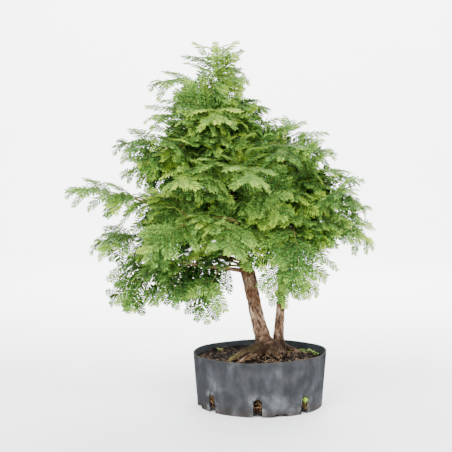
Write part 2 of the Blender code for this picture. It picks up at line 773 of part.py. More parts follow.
def make_soil(home):
    """The soil: turned to fit the pot, raised by a formula, with a hole for the stump and each root."""
    floor_top = FLOOR_UNDERSIDE + FLOOR_THICKNESS
    inner = outside_radius(SOIL_LEVEL - SOIL_EDGE) - POT_WALL - SIDE_GAP
    profile = [(0.0, SOIL_LEVEL)]
    profile += [(inner * share, SOIL_LEVEL) for share in reversed(SOIL_RINGS)]
    profile += [
        (inner, SOIL_LEVEL - SOIL_EDGE),
        (outside_radius(floor_top) - POT_WALL - SIDE_GAP, floor_top + SEAT_GAP),
        (FOOT_RADIUS + FOOT_SLOPE - FOOT_WALL, floor_top + SEAT_GAP),
        (FOOT_RADIUS - FOOT_WALL - SIDE_GAP, FLOOR_THICKNESS + SEAT_GAP),
        (0.0, FLOOR_THICKNESS + SEAT_GAP),
    ]
    soil = turned("soil", profile, POT_SIDES, home)
    for vertex in soil.data.vertices:
        if vertex.co.z > SOIL_LEVEL - 1.5 * SOIL_EDGE:
            vertex.co.z += soil_height(vertex.co.x, vertex.co.y) - SOIL_LEVEL
    cutters = new_collection("soil_cutters")
    stump(cutters, ROOT_HOLE_GAP)
    soil = join_all(soil, cutters, "DIFFERENCE", "EXACT", home)
    soil.data.materials.clear()
    soil.data.materials.append(material(*POTTING_SOIL))
    return soil


def lengthened(points, extra):
    """The same points, with the first moved back by extra."""
    first = points[0] + (points[0] - points[1]).normalized() * extra
    return [first] + points[1:]


def stump(collection, grow_by):
    """Trunks and surface roots as tubes, thicker by grow_by where they are cutters for the soil."""
    made = []
    old = ("old_trunk", OLD_TRUNK, OLD_TRUNK_SIDES)
    young = ("young_trunk", YOUNG_TRUNK, YOUNG_TRUNK_SIDES)
    for name, rows, sides in (old, young):
        if grow_by:
            rows = rows[:ROWS_IN_SOIL]
        points = lengthened([Vector(row[:3]) for row in rows], grow_by)
        made.append(tube(name, points, [row[3] + grow_by for row in rows], sides, collection))
    for i, rows in enumerate(ROOTS):
        points = list(reversed(lengthened([Vector(row[:3]) for row in reversed(rows)], grow_by)))
        made.append(tube(f"root_{i}", points, [row[3] + grow_by for row in rows], ROOT_SIDES, collection))
    return made


def make_wood(crown, home):
    """Both trunks, their roots, boughs and twigs, grown together as one piece."""
    joined = new_collection("wood_parts")
    trunk = stump(joined, 0.0)[0]
    joined.objects.unlink(trunk)
    home.objects.link(trunk)
    trunk.name = "wood"
    for i, (points, radii) in enumerate(crown.twigs):
        sides = TWIG_SIDES if radii[0] < THICK_TWIG else THICK_TWIG_SIDES
        tube(f"twig_{i}", points, radii, sides, joined)
    wood = join_all(trunk, joined, "UNION", "MANIFOLD", home)
    wood.data.materials.clear()
    wood.data.materials.append(material(*REDWOOD_BARK))
    return wood


def rib_ring(bm, frond, along, narrowed=1.0):
    """The rib's left, low and right corners at this distance along it."""
    size = frond.thickness(along) * narrowed
    return [bm.verts.new(frond.at(x * size, y * size, along)) for x, y in RIB_CORNERS]


def draw_out(bm, base, point):
    """A needle's three faces, from a triangle of the rib's side out to the needle's tip."""
    tip = bm.verts.new(point)
    for a, b in zip(base, base[1:] + base[:1]):
        bm.faces.new((a, b, tip))


def leafy_rib(frond, narrowed, name, collection):
    """A frond's mesh: a three-sided rib, its two lower sides drawn out into a needle at each station."""
    bm = bmesh.new()
    left, low, right = rib_ring(bm, frond, 0.0, narrowed)
    bm.faces.new((left, low, right))
    for along in frond.stations:
        far_left, far_low, far_right = rib_ring(bm, frond, along)
        bm.faces.new((low, left, far_left, far_low))
        bm.faces.new((right, low, far_low, far_right))
        bm.faces.new((left, right, far_right, far_left))
        left, low, right = far_left, far_low, far_right
        beyond = along + NEEDLE_WIDTH
        past = bm.verts.new(frond.at(0.0, -frond.thickness(beyond), beyond))
        draw_out(bm, [low, left, past], frond.on_needle(along, -1, 1.0))
        draw_out(bm, [right, low, past], frond.on_needle(along, 1, 1.0))
        low = past
    end = bm.verts.new(frond.at(0.0, 0.0, frond.length + NEEDLE_LENGTH / 2))
    for a, b in ((low, left), (right, low), (left, right)):
        bm.faces.new((a, b, end))
    mesh = bpy.data.meshes.new(name)
    bm.to_mesh(mesh)
    bm.free()
    return mesh_object(name, mesh, collection)


def make_spray(number, fronds, greens, home):
    """One spray: its main frond with the side fronds fused to it."""
    name = f"spray_{number:02d}"
    main = leafy_rib(fronds[0], 1.0, name, home)
    sides = new_collection(name + "_sides")
    for i, frond in enumerate(fronds[1:]):
        leafy_rib(frond, ROOT_NARROWED, f"{name}_side_{i}", sides)
    spray = join_all(main, sides, "UNION", "MANIFOLD", home)
    spray.data.materials.clear()
    spray.data.materials.append(greens[number % len(greens)])
    return spray


def main():
    clear_scene()
    home = new_collection("dawn_redwood_bonsai")
    crown = grow()
    make_pot(home)
    make_soil(home)
    make_wood(crown, home)
    greens = [material(*row) for row in NEEDLE_GREENS]
    for number, fronds in enumerate(crown.sprays, start=1):
        make_spray(number, fronds, greens, home)


main()
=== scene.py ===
"""Dawn redwood bonsai in its cut-down nursery pot: the finish of every surface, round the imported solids.

Metres, +Z up, in the solids' own frame: the origin is the centre of the pot's foot, the viewer is at -Y.
The crown is grown again by the rules and the seed that set out the solids, so that every fine frond hangs
where its solid one does. What repeats, such as needles, crumbs, rootlets and moss, comes from node trees.
"""

import json
import math
import random
from functools import partial

import bmesh
import bpy
from mathutils import Matrix, Vector, noise
from mathutils.kdtree import KDTree

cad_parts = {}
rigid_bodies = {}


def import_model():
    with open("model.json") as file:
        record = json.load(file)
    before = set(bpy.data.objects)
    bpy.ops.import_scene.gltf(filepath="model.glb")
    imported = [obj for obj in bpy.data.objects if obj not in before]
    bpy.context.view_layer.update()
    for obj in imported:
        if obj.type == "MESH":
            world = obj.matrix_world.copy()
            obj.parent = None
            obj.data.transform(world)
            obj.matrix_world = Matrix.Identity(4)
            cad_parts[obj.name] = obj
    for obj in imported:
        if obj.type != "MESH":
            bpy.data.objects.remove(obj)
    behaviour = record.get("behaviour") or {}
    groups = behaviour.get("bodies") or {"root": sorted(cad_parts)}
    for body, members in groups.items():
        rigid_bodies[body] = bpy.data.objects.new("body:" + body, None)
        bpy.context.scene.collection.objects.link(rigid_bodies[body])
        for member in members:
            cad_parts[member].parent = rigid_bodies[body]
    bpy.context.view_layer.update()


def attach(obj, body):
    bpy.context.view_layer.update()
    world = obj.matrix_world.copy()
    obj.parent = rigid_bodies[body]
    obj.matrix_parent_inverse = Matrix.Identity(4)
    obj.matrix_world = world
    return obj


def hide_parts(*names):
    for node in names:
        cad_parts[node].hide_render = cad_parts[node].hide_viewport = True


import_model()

# Camera: at the height of the crown, a long step away
CAMERA_PLACE = (-0.0507, -1.5, 0.356)
CAMERA_PITCH = math.radians(3.42)
CAMERA_LENS = 80.3

# Pot: a thin plastic wall that widens upwards, cut off by hand, so that its rim isn't quite level
POT_TOP_RADIUS = 0.100
POT_BASE_RADIUS = 0.0935
POT_HEIGHT = 0.079
POT_WALL = 0.0018
RIM_TILT = 0.0018
RIM_WAVE = 0.0005
RIM_WAVE_COUNT = 5
RIM_WAVE_TURN = 0.8
FLOOR_UNDERSIDE = 0.0045
FLOOR_THICKNESS = 0.002
FOOT_RADIUS = 0.021
FOOT_SLOPE = 0.004
FOOT_WALL = 0.001

# Drain openings round the foot of the wall
SLOT_COUNT = 8
SLOT_WIDTH = 0.0125
SLOT_HEIGHT = 0.0265
SLOT_TURN = math.radians(-3.6)
NOTCH_COUNT = 4
NOTCH_WIDTH = 0.020
NOTCH_HEIGHT = 0.004
NOTCH_TURN = math.radians(17.3)
NOTCH_SLOPE = 0.002
CUT_DEPTH = 0.016
CUT_BELOW_FOOT = 0.002

# Soil: fills the pot, and rises a little round the trunks
SOIL_LEVEL = 0.0695
SOIL_MOUND = 0.0085
MOUND_CENTRE = Vector((0.014, 0.002))
MOUND_REACH = 0.038
SOIL_EDGE = 0.002
SOIL_LUMP = 0.0011
LUMP_WAVES = (95, 110)
LUMP_TURNS = (1.3, 0.4)
SEAT_GAP = 0.0003
SIDE_GAP = 0.0005

# Trunks: (x, y, z, radius) along each, from the stump in the soil to the top
OLD_TRUNK = (
    (0.0230, 0.0000, 0.040, 0.0120),
    (0.0165, 0.0000, 0.072, 0.0168),
    (0.0100, 0.0002, 0.086, 0.0145),
    (0.0045, 0.0005, 0.099, 0.0118),
    (-0.0022, 0.0015, 0.121, 0.0103),
    (-0.0094, 0.0030, 0.155, 0.0100),
    (-0.0160, 0.0045, 0.187, 0.0105),
    (-0.0238, 0.0055, 0.220, 0.0096),
    (-0.0418, 0.0050, 0.283, 0.0080),
    (-0.0560, 0.0020, 0.330, 0.0064),
    (-0.0655, 0.0000, 0.380, 0.0050),
    (-0.0705, 0.0010, 0.430, 0.0036),
    (-0.0720, 0.0020, 0.460, 0.0020),
)
YOUNG_TRUNK = (
    (0.0330, 0.0130, 0.045, 0.0080),
    (0.0305, 0.0125, 0.075, 0.0098),
    (0.0290, 0.0125, 0.100, 0.0082),
    (0.0303, 0.0130, 0.121, 0.0071),
    (0.0325, 0.0140, 0.155, 0.0065),
    (0.0345, 0.0150, 0.200, 0.0060),
    (0.0370, 0.0150, 0.245, 0.0053),
    (0.0400, 0.0160, 0.300, 0.0042),
    (0.0402, 0.0168, 0.328, 0.0034),
    (0.0390, 0.0165, 0.352, 0.0022),
)
TRUNKS = {"old": OLD_TRUNK, "young": YOUNG_TRUNK}
# Surface roots: each leaves the stump above the soil and dives into it
ROOTS = (
    ((0.0060, -0.0040, 0.092, 0.0062), (-0.0200, -0.0170, 0.0815, 0.0048),
     (-0.0390, -0.0265, 0.0725, 0.0038), (-0.0560, -0.0350, 0.0600, 0.0022)),
    ((0.0100, -0.0080, 0.086, 0.0060), (-0.0080, -0.0220, 0.0780, 0.0046),
     (-0.0270, -0.0350, 0.0700, 0.0034), (-0.0380, -0.0430, 0.0600, 0.0020)),
    ((0.0150, -0.0080, 0.084, 0.0070), (0.0260, -0.0210, 0.0760, 0.0050),
     (0.0330, -0.0340, 0.0640, 0.0026)),
    ((0.0120, 0.0080, 0.086, 0.0060), (-0.0080, 0.0270, 0.0765, 0.0042),
     (-0.0220, 0.0420, 0.0640, 0.0022)),
    ((0.0320, 0.0160, 0.084, 0.0060), (0.0520, 0.0270, 0.0750, 0.0040),
     (0.0680, 0.0370, 0.0640, 0.0022)),
)

# Boughs that show in outline from the front: (trunk, height where it leaves, tip of its last spray, rise
# of that spray in degrees, slope at the trunk, side twigs)
BOUGHS = (
    ("old", 0.460, (-0.068, -0.024, 0.543), 84, 1.6, 0),
    ("young", 0.352, (0.034, 0.004, 0.430), 76, 1.4, 0),
    ("old", 0.405, (-0.163, -0.014, 0.472), -6, 0.8, 0),
    ("old", 0.360, (-0.171, 0.022, 0.426), 0, 0.6, 0),
    ("old", 0.325, (-0.216, -0.016, 0.381), -6, 0.6, 1),
    ("old", 0.290, (-0.206, 0.040, 0.336), -24, 0.4, 1),
    ("old", 0.245, (-0.285, -0.024, 0.316), 0, 0.5, 1),
    ("old", 0.225, (-0.256, 0.016, 0.231), -18, 0.3, 1),
    ("old", 0.198, (-0.216, -0.018, 0.142), -52, 0.05, 2),
    ("old", 0.430, (-0.014, 0.012, 0.472), -4, 0.8, 0),
    ("old", 0.375, (0.012, -0.010, 0.438), -4, 0.7, 0),
    ("young", 0.300, (0.080, -0.014, 0.409), -8, 0.7, 0),
    ("young", 0.285, (0.114, 0.014, 0.371), -8, 0.7, 0),
    ("young", 0.270, (0.145, -0.016, 0.333), -18, 0.5, 0),
    ("young", 0.245, (0.162, 0.024, 0.285), -30, 0.4, 0),
    ("young", 0.220, (0.162, -0.026, 0.232), -46, 0.3, 1),
    ("young", 0.212, (0.132, -0.036, 0.250), -34, 0.3, 0),
    ("young", 0.240, (0.030, -0.076, 0.156), -76, 0.2, 0),
    ("young", 0.226, (0.064, -0.052, 0.166), -66, 0.1, 0),
    ("young", 0.252, (0.052, -0.092, 0.192), -64, 0.3, 0),
    ("old", 0.232, (0.008, -0.084, 0.194), -58, 0.3, 0),
    ("old", 0.205, (-0.084, -0.070, 0.134), -66, 0.1, 0),
    ("old", 0.214, (-0.134, -0.058, 0.146), -58, 0.1, 0),
    ("old", 0.262, (-0.182, -0.034, 0.288), -28, 0.4, 0),
    ("young", 0.262, (0.096, 0.068, 0.316), -16, 0.4, 0),
)
# The other boughs go where the crown is emptiest, inside this outline: (height, left, right)
SPRAYS = 52
CROWN = (
    (0.140, -0.216, -0.086),
    (0.184, -0.214, -0.050),
    (0.211, -0.208, 0.076),
    (0.244, -0.200, 0.140),
    (0.288, -0.202, 0.162),
    (0.318, -0.204, 0.148),
    (0.345, -0.206, 0.130),
    (0.380, -0.198, 0.098),
    (0.415, -0.174, 0.060),
    (0.444, -0.152, 0.026),
    (0.471, -0.134, 0.000),
    (0.518, -0.108, -0.034),
    (0.545, -0.090, -0.050),
)
CROWN_DEPTH = 0.9
LOWEST_BOUGH = 0.205
HIGHEST_TIP = 0.480
NEAREST_TIP = 0.066
LEAST_OUT = 0.1
# The one bare bough shows from the front: two (x, z) corners of the window that the other sprays keep clear
BARE_BOUGH_WINDOW = ((-0.128, 0.186), (-0.034, 0.216))
# The lower window that the fronds added along the boughs keep clear
SEEN_BOUGH_WINDOW = ((-0.124, 0.190), (-0.028, 0.209))
BETWEEN_TRUNKS = 0.035
YOUNG_TRUNK_REACH = 0.42
# How steeply a bough's spray rises, and the bough leaves its trunk, from low to high in the crown
LOW_HEIGHT = 0.150
LOW_TO_HIGH = 0.320
LOW_RISE = -52
RISE_GAIN = 52
RISE_STRAY = 10
LOW_SLOPE = 0.3
SLOPE_GAIN = 0.5
BOUGH_CLIMB = (0.25, 0.45)
BELOW_TRUNK_TOP = 0.015
FILL_ROLL = 0.4
FILL_TRIALS = 30

# Sprays: a main frond with two pairs of side fronds, (hand, share of the main rib, length, lift in degrees)
MAIN_RIB = 0.072
SIDE_ANGLE = math.radians(48)
SIDE_FRONDS = (
    (-1, 0.13, 0.048, 15),
    (1, 0.18, 0.048, 15),
    (-1, 0.46, 0.038, -10),
    (1, 0.51, 0.038, -10),
)
MAIN_STATIONS = (0.25, 0.40, 0.60, 0.74, 0.88)
SIDE_STATIONS = (0.20, 0.47, 0.74)
MAIN_RIB_RADIUS = 0.00095
SIDE_RIB_RADIUS = 0.00075
RIB_THINNING = 0.4
ROOT_SUNK = 0.00025
FACE_LEAN = 0.3
FACE_PARTING = 0.020
SKYWARD = 4.0
NEEDLE_LENGTH = 0.0135
NEEDLE_SAG = 0.05
LONGEST_NEEDLES = 0.4
SHORTER_AT_ROOT = 0.38
SHORTER_AT_TIP = 0.52
NEEDLE_ANGLE = 68
NEEDLE_ANGLE_FALL = 22
DROOP = math.radians(34)
# A drooping rib's chord as a share of its length
CHORD = 0.99

# Twigs and boughs: smooth curves that thicken towards the trunk
TWIG_LENGTH = 0.040
TWIG_LENGTH_RANGE = (0.75, 1.1)
TWIG_ANGLE = math.radians(56)
TWIG_ANGLE_RANGE = (0.8, 1.25)
TWIG_CLIMB = 0.25
TWIG_SAG = 0.05
TWIG_ROOT_SHARE = 0.6
TWIG_PLACES = (0.50, 0.80)
TWIG_SPACING = 0.12
TWIG_ROLL = 0.5
TWIG_SIZE = 0.86
TWIG_END_RADIUS = 0.0010
BOUGH_LEAST_TAPER = 0.0004
BOUGH_THICKENING = 0.0125
BOUGH_TO_TRUNK = 0.62
BOUGH_TAPER = 0.8
BOUGH_PIECE = 0.055
BOUGH_LEAVES = 0.38
BOUGH_ARRIVES = 0.34
BOUGH_END_SHARE = 0.6
START_OFF_TRUNK = 0.012
SMALLEST_SPRAY = 0.6
SHARPEST_BEND = math.radians(38)
BOUGH_ROLL = 0.25
BOUGH_ROLL_GAIN = 3

# Room kept between sprays while the tree is grown
SAMPLE_STEP = 0.0028
NEEDLE_ROOM = 0.0034
WOOD_ROOM = 0.0022
TRIALS = 120
STRAY = 0.034
STRAY_CURVE = 1.3
ROOM_STRIDE = 4
SEED = 7

# Fine fronds: extra side fronds on each spray, (hand, share of the main rib, length, lift in degrees)
EXTRA_SIDE_FRONDS = (
    (-1, 0.32, 0.040, 24),
    (1, 0.36, 0.040, 20),
    (-1, 0.71, 0.026, 12),
    (1, 0.76, 0.024, 8),
)
# Fronds along the boughs, in pairs, from the bare inner stretch to the last spray: angles in degrees
BARE_SHARE = 0.26
PAIR_SPACING = 0.0155
PAIR_SPACING_RANGE = (0.8, 1.25)
PAIR_OFF_END = 0.004
PAIR_ANGLE = 58
PAIR_ANGLE_RANGE = (0.8, 1.2)
PAIR_LIFT = (-34, 30)
PAIR_LENGTH = (0.034, 0.058)
PAIR_DROOP = (22, 62)
PAIR_ROLL = 0.8
PAIR_MISSING = 0.12
INNER_FROND_RADIUS = 0.0007
# The ninth bough is the bare one, and fronds hang under it: where on it, how far apart, how long, which way
BARE_BOUGH = 9
BARE_BOUGH_SHARE = 0.62
HANGING_FROM = 0.20
HANGING_SPACING = 0.0042
HANGING_SPACING_RANGE = (0.8, 1.3)
HANGING_LENGTH = (0.026, 0.066)
HANGING_LENGTH_RANGE = (0.8, 1.1)
HANGING_ACROSS = (-0.5, 0.1)
HANGING_DEEP = (-0.4, 0.2)
HANGING_TURN = 0.5
HANGING_DROOP = math.radians(10)
# Shoots on a trunk where its boughs leave a hole in the crown: (height, direction)
PLACED_SHOOTS = {
    "old": ((0.390, (0.30, -0.92, 0.15)), (0.402, (-0.35, -0.90, 0.10)), (0.412, (0.0, -0.95, 0.25)),
            (0.221, (-1.0, -0.42, 0.04)), (0.232, (-0.9, -0.75, 0.0)), (0.242, (-1.0, -0.2, 0.1))),
    "young": ((0.262, (0.3, -0.95, -0.1)),),
}
# Lone fronds that reach out of the crown's outline: where each starts and ends, (x, y, z)
LONE_FRONDS = (
    ((-0.070, -0.002, 0.506), (-0.096, -0.012, 0.537)),
    ((-0.070, -0.002, 0.500), (-0.114, -0.006, 0.517)),
    ((-0.069, -0.002, 0.506), (-0.035, -0.012, 0.538)),
    ((-0.069, -0.002, 0.498), (-0.026, -0.004, 0.526)),
    ((-0.069, -0.002, 0.488), (-0.028, 0.004, 0.500)),
    ((-0.112, -0.020, 0.432), (-0.166, -0.028, 0.441)),
    ((-0.106, -0.024, 0.410), (-0.154, -0.034, 0.424)),
    ((-0.106, -0.020, 0.398), (-0.160, -0.028, 0.411)),
    ((-0.112, -0.014, 0.390), (-0.162, -0.018, 0.392)),
    ((-0.018, -0.016, 0.405), (0.024, -0.022, 0.424)),
    ((0.008, -0.016, 0.400), (0.052, -0.020, 0.414)),
    ((0.022, -0.012, 0.404), (0.066, -0.016, 0.419)),
    ((-0.104, 0.000, 0.444), (-0.152, 0.004, 0.452)),
    ((0.104, -0.020, 0.296), (0.162, -0.026, 0.292)),
    ((0.104, -0.030, 0.270), (0.160, -0.040, 0.244)),
    ((0.098, -0.026, 0.262), (0.146, -0.034, 0.254)),
    ((0.100, -0.022, 0.278), (0.152, -0.028, 0.268)),
    ((0.066, -0.030, 0.238), (0.110, -0.040, 0.204)),
    ((0.090, -0.030, 0.340), (0.150, -0.034, 0.332)),
    ((0.052, -0.020, 0.398), (0.098, -0.024, 0.402)),
    ((-0.148, -0.030, 0.250), (-0.196, -0.040, 0.214)),
    ((-0.146, -0.030, 0.225), (-0.190, -0.044, 0.166)),
    ((-0.148, -0.034, 0.182), (-0.184, -0.042, 0.144)),
    ((-0.236, -0.020, 0.321), (-0.284, -0.026, 0.318)),
    ((-0.222, -0.018, 0.318), (-0.250, -0.034, 0.292)),
    ((-0.200, -0.016, 0.312), (-0.222, -0.034, 0.282)),
    ((-0.070, -0.030, 0.234), (-0.110, -0.044, 0.218)),
    ((-0.046, -0.028, 0.238), (-0.086, -0.042, 0.217)),
)
LONE_DROOP = math.radians(24)
# Fronds under the lowest boughs of the old trunk are a deeper green: painted shade
SHADED_LEFT_OF = -0.03
SHADED_BELOW = 0.215
SHADED_TINT = 0.20
# Low down a share of the added fronds grows, so that single ones hang free: (left, right, below, share)
SPARSE_ZONES = ((-0.30, 0.055, 0.185, 0.5), (0.055, 0.20, 0.228, 0.25))
# Each rib is a line of this many points, and a bough is followed in steps of this length
RIB_POINTS = 7
PATH_STEP = 0.002
FINE_SEED = 23

# Needles: thin flat blades in two ranks, longest before the middle of the rib
NEEDLE_PITCH = 0.0030
FINE_NEEDLE_WIDTH = 0.0025
NEEDLE_THICKNESS = 0.0011
NEEDLE_REACHES = ((0.0, 0.62), (0.2, 0.905), (0.4, 1.0), (0.7, 0.87), (1.0, 0.48))
NEEDLE_JITTER = 0.13
FIRST_NEEDLE = 0.06

# Wood: bark relief on the trunks, and how finely tubes are drawn
TRUNK_VOXEL = 0.0014
BARK_STRIP = 0.0030
BARK_STRETCH = 3.0
BARK_RELIEF = 0.00075
BARK_FULL_RADIUS = 0.008
# Shares of the relief: strips, finer strips, whole plates, and the cracks between plates
STRIP_SHARE = 0.45
FINE_STRIP_SHARE = 0.2
PLATE_SHARE = 0.5
CRACK_SHARE = 0.35
TRUNK_SIDES = 24
ROOT_SIDES = 14
LIMB_SIDES = 8
TWIGLET_LIMB_SIDES = 5
LIMB_STEP = 0.004
AXIS_STEP = 0.001
LIMB_KNOB = 0.16
LIMB_KNOB_WAVES = 140
TRUNK_SMOOTHING = 4
COLLAR_LENGTH = 0.010
COLLAR_SWELL = 0.55
# How green a twig is at its two ends, how fine its bark is, and how much paler the bare bough is
TWIG_YOUTH = (0.0, 0.85)
TWIGLET_YOUTH = (0.45, 1.0)
TWIG_BARK_WAVES = 300
BARE_BOUGH_PALER = 0.3

# Soil: how finely it is drawn, and how rough its crumbly top and sides are
SOIL_SEGMENTS = 144
SOIL_FINE_RINGS = 40
SOIL_SIDE_RINGS = 14
SOIL_CRUMBLE = 0.0012
TOP_ROUGHNESS = 260
SIDE_ROUGHNESS = 300
# A slot shows this much of the soil on each side of its middle, as a share of its width
SLOT_SHOWS = 0.65
ROOTLETS_OFF_WALL = 0.010
# Small pieces, strewn: (number to the square metre, smallest, largest, how flat, how deep, seed)
STREWN = {
    "compost_crumbs": (100000, 0.0006, 0.0020, 0.0, 0.15, 1),
    "bark_splinters": (14000, 0.0016, 0.0042, 0.8, -0.05, 2),
    "fibrous_rootlets": (13000, 0.006, 0.018, 0.85, 0.0, 3),
    "root_moss": (420000, 0.0008, 0.0018, 1.0, 0.1, 4),
    "slot_rootlets": (110000, 0.006, 0.013, 0.9, 0.0, 5),
}
# Moss: along this line on one surface root
MOSS_START = Vector((0.002, -0.008, 0.088))
MOSS_END = Vector((-0.050, -0.032, 0.068))
MOSS_REACH = 0.0058
# Weeds: (x, y, number of leaves, leaf length)
WEEDS = (
    (0.074, 0.034, 9, 0.0085),
    (0.082, 0.022, 8, 0.0075),
    (0.066, 0.046, 8, 0.0070),
    (0.043, 0.020, 7, 0.0080),
    (0.086, 0.008, 6, 0.0060),
    (-0.060, 0.050, 7, 0.0065),
)
WEED_SEED = 5
WEED_LEAF_TURN = 0.3
WEED_LEAF_RISE = (0.5, 1.6)
WEED_LEAF_SIZE = (0.75, 1.15)
# A leaf's outline: (share of its length, half width, half thickness), as shares of its length
LEAF_OUTLINE = ((0.06, 0.022, 0.022), (0.45, 0.022, 0.022), (0.56, 0.20, 0.025), (0.76, 0.29, 0.025),
                (0.93, 0.17, 0.02))
LEAF_BEND = 0.35
# One leaf grows out of this slot, from here: distance from the pot's middle, and height
SLOT_LEAF = 1
SLOT_LEAF_FROM = (0.0950, 0.0100)
SLOT_LEAF_RISE = 20.0
SLOT_LEAF_LENGTH = 0.0165

# Pot: finer than the solid, with slightly rounded cut edges
POT_FINE_SIDES = 144
POT_WALL_HEIGHTS = (0.079, 0.078, 0.070, 0.058, 0.046, 0.034, 0.022, 0.010, 0.0)
POT_EDGE = 0.0003
# Corners are rounded where they are sharper than this, and shading breaks where they are sharper than this
ROUNDED_FROM = math.radians(50)
SHADED_FROM = math.radians(35)
POT_WARP = 0.0005
POT_WARP_WAVES = Vector((16, 16, 22))
RIM_BURR = 0.0004
RIM_BURR_WAVES = Vector((160, 160, 0))
SLOT_FINE_STEPS = 12
SCUFF_REACH = 0.008

# Twiglets: short twigs with a small spray, between the pairs on the longer boughs
TWIGLET_SPACING = 0.019
MOST_TWIGLETS = 8
TWIGLET_LENGTH = (0.020, 0.034)
TWIGLET_FROND = (0.040, 0.056)
TWIGLET_SIZE = (0.85, 1.1)
TWIGLET_ANGLE = (38, 62)
TWIGLET_LEAN = 0.25
TWIGLET_ARCH = 0.06
TWIGLET_THINNESS = 0.8
TWIGLET_TAPER = (1.4, 1.15, 1.0)
TWIGLET_PAIRS_FROM = 0.45
TWIGLET_PAIR_SIZE = 0.85
LAST_TWIGLET = 0.92
TWIGLET_SIDES = ((-1, 0.16, 0.038, 8), (1, 0.20, 0.038, 8), (-1, 0.48, 0.029, -4), (1, 0.53, 0.029, -4))
TRUNK_TWIGLETS = {"old": 60, "young": 40}
TRUNK_TWIGLET_HEIGHTS = {"old": (0.25, 0.46), "young": (0.235, 0.345)}
TRUNK_TWIGLET_RISE = (-0.1, 0.7)
# How far out in the trunk a shoot starts, as a share of its radius
SHOOT_ROOT = 0.7
RIB_SLIMNESS = 1.1
SMALL_FROND_VIGOUR = 0.45
LARGE_FROND = 0.085

# How pale a frond is: darker deep inside the crown and paler outside, as painted shade, with new growth
# strewn in
INSIDE_SHADE_TINT = 0.23
OUT_OF_SHADE_GAIN = 0.04
TINT_SPREAD = 0.10
NEW_GROWTH = 0.20
NEW_GROWTH_TINT = 0.34
TIP_TINT = 0.34
VIGOUR_RANGE = (0.92, 1.06)
MID_GREENS = ((0.0, "172e10"), (0.28, "3f6a28"), (0.56, "77a448"), (0.84, "9fc43e"), (1.0, "b8da4a"))
LIGHT_GREENS = ((0.0, "203817"), (0.28, "4c7a30"), (0.56, "86b250"), (0.84, "a9cc46"), (1.0, "c2e054"))
DEEP_GREENS = ((0.0, "132810"), (0.28, "355c25"), (0.56, "689842"), (0.84, "93bc38"), (1.0, "aed242"))

# Studio: a dish-shaped sweep, and lamps as (name, place, what it is aimed at, watts, side in metres)
SWEEP_RADIUS = 2.4
SWEEP_BEND = 1.2
SWEEP_TOP = 3.6
SWEEP_STEPS = 12
SWEEP_SIDES = 96
FLOOR_COLOUR = "f8f8f9"
FLOOR_DRIFT = "f1f2f3"
TREE_MIDDLE = Vector((-0.03, 0.0, 0.28))
LAMPS = (
    ("window_light", (-0.9, -1.5, 2.0), TREE_MIDDLE, 105.0, 1.2),
    ("fill_light", (1.6, -1.3, 1.6), TREE_MIDDLE, 56.0, 1.4),
    ("back_light", (0.5, 1.4, 1.9), TREE_MIDDLE, 60.0, 1.2),
    ("wall_light", (0.0, 1.1, 2.2), Vector((0.0, 3.6, 1.0)), 330.0, 1.8),
)
SKY_COLOUR = "f4f7fb"
SKY_STRENGTH = 1.1


class Frond:
    """One leafy branchlet: a rib on a circular arc that droops, with needles in two ranks."""

    def __init__(self, root, ahead, up, length, radius, stations, droop=DROOP):
        self.root = root
        self.ahead = ahead
        self.up = up
        self.side = ahead.cross(up)
        self.length = length
        self.radius = radius
        self.stations = [length * share for share in stations]
        self.droop = droop
        self.vigour = min(1.0, SMALL_FROND_VIGOUR + length / LARGE_FROND)

    def frame(self, along):
        """(point, direction ahead, direction up) on the rib, at a distance along it."""
        turn = self.droop * along / self.length
        bend = self.length / self.droop
        point = self.root + self.ahead * bend * math.sin(turn) - self.up * bend * (1 - math.cos(turn))
        ahead = self.ahead * math.cos(turn) - self.up * math.sin(turn)
        up = self.up * math.cos(turn) + self.ahead * math.sin(turn)
        return point, ahead, up

    def at(self, across, above, along):
        """The point this far to the side of the rib, above it and along it."""
        point, ahead, up = self.frame(along)
        return point + self.side * across + up * above

    def tip(self):
        return self.at(0.0, 0.0, self.length)

    def thickness(self, along):
        return self.radius * (1 - RIB_THINNING * along / self.length)

    def on_needle(self, along, hand, share):
        """A point part of the way out on the needle that leaves the rib here, to this hand."""
        reach, angle = needle_reach(along / self.length)
        out = reach * share
        return self.at(hand * out * math.sin(angle), -NEEDLE_SAG * out, along + out * math.cos(angle))


def needle_reach(share):
    """(length, angle from the rib) of the needles at this share of the rib: longest before the middle."""
    if share < LONGEST_NEEDLES:
        shorter = SHORTER_AT_ROOT * ((LONGEST_NEEDLES - share) / LONGEST_NEEDLES) ** 2
    else:
        shorter = SHORTER_AT_TIP * ((share - LONGEST_NEEDLES) / (1 - LONGEST_NEEDLES)) ** 2
    return NEEDLE_LENGTH * (1 - shorter), math.radians(NEEDLE_ANGLE - NEEDLE_ANGLE_FALL * share)


def bezier(a, b, c, d, count):
    """Points along a cubic curve, closer together towards its end."""
    found = []
    for i in range(count):
        t = (i / (count - 1)) ** BOUGH_END_SHARE
        found.append(a * (1 - t) ** 3 + b * 3 * t * (1 - t) ** 2 + c * 3 * t * t * (1 - t) + d * t ** 3)
    return found


def line_of(rows):
    """The (points, radii) of a trunk or root from its rows."""
    return [Vector(row[:3]) for row in rows], [row[3] for row in rows]


def on_trunk(trunk, height):
    """The trunk's centre and radius at this height."""
    for low, high in zip(trunk, trunk[1:]):
        if height <= high[2]:
            share = (height - low[2]) / (high[2] - low[2])
            return Vector(low[:3]).lerp(Vector(high[:3]), share), low[3] + (high[3] - low[3]) * share
    return Vector(trunk[-1][:3]), trunk[-1][3]


def square_to(ahead, hint):
    """The unit vector square to ahead that comes nearest to the hint."""
    return (hint - ahead * hint.dot(ahead)).normalized()


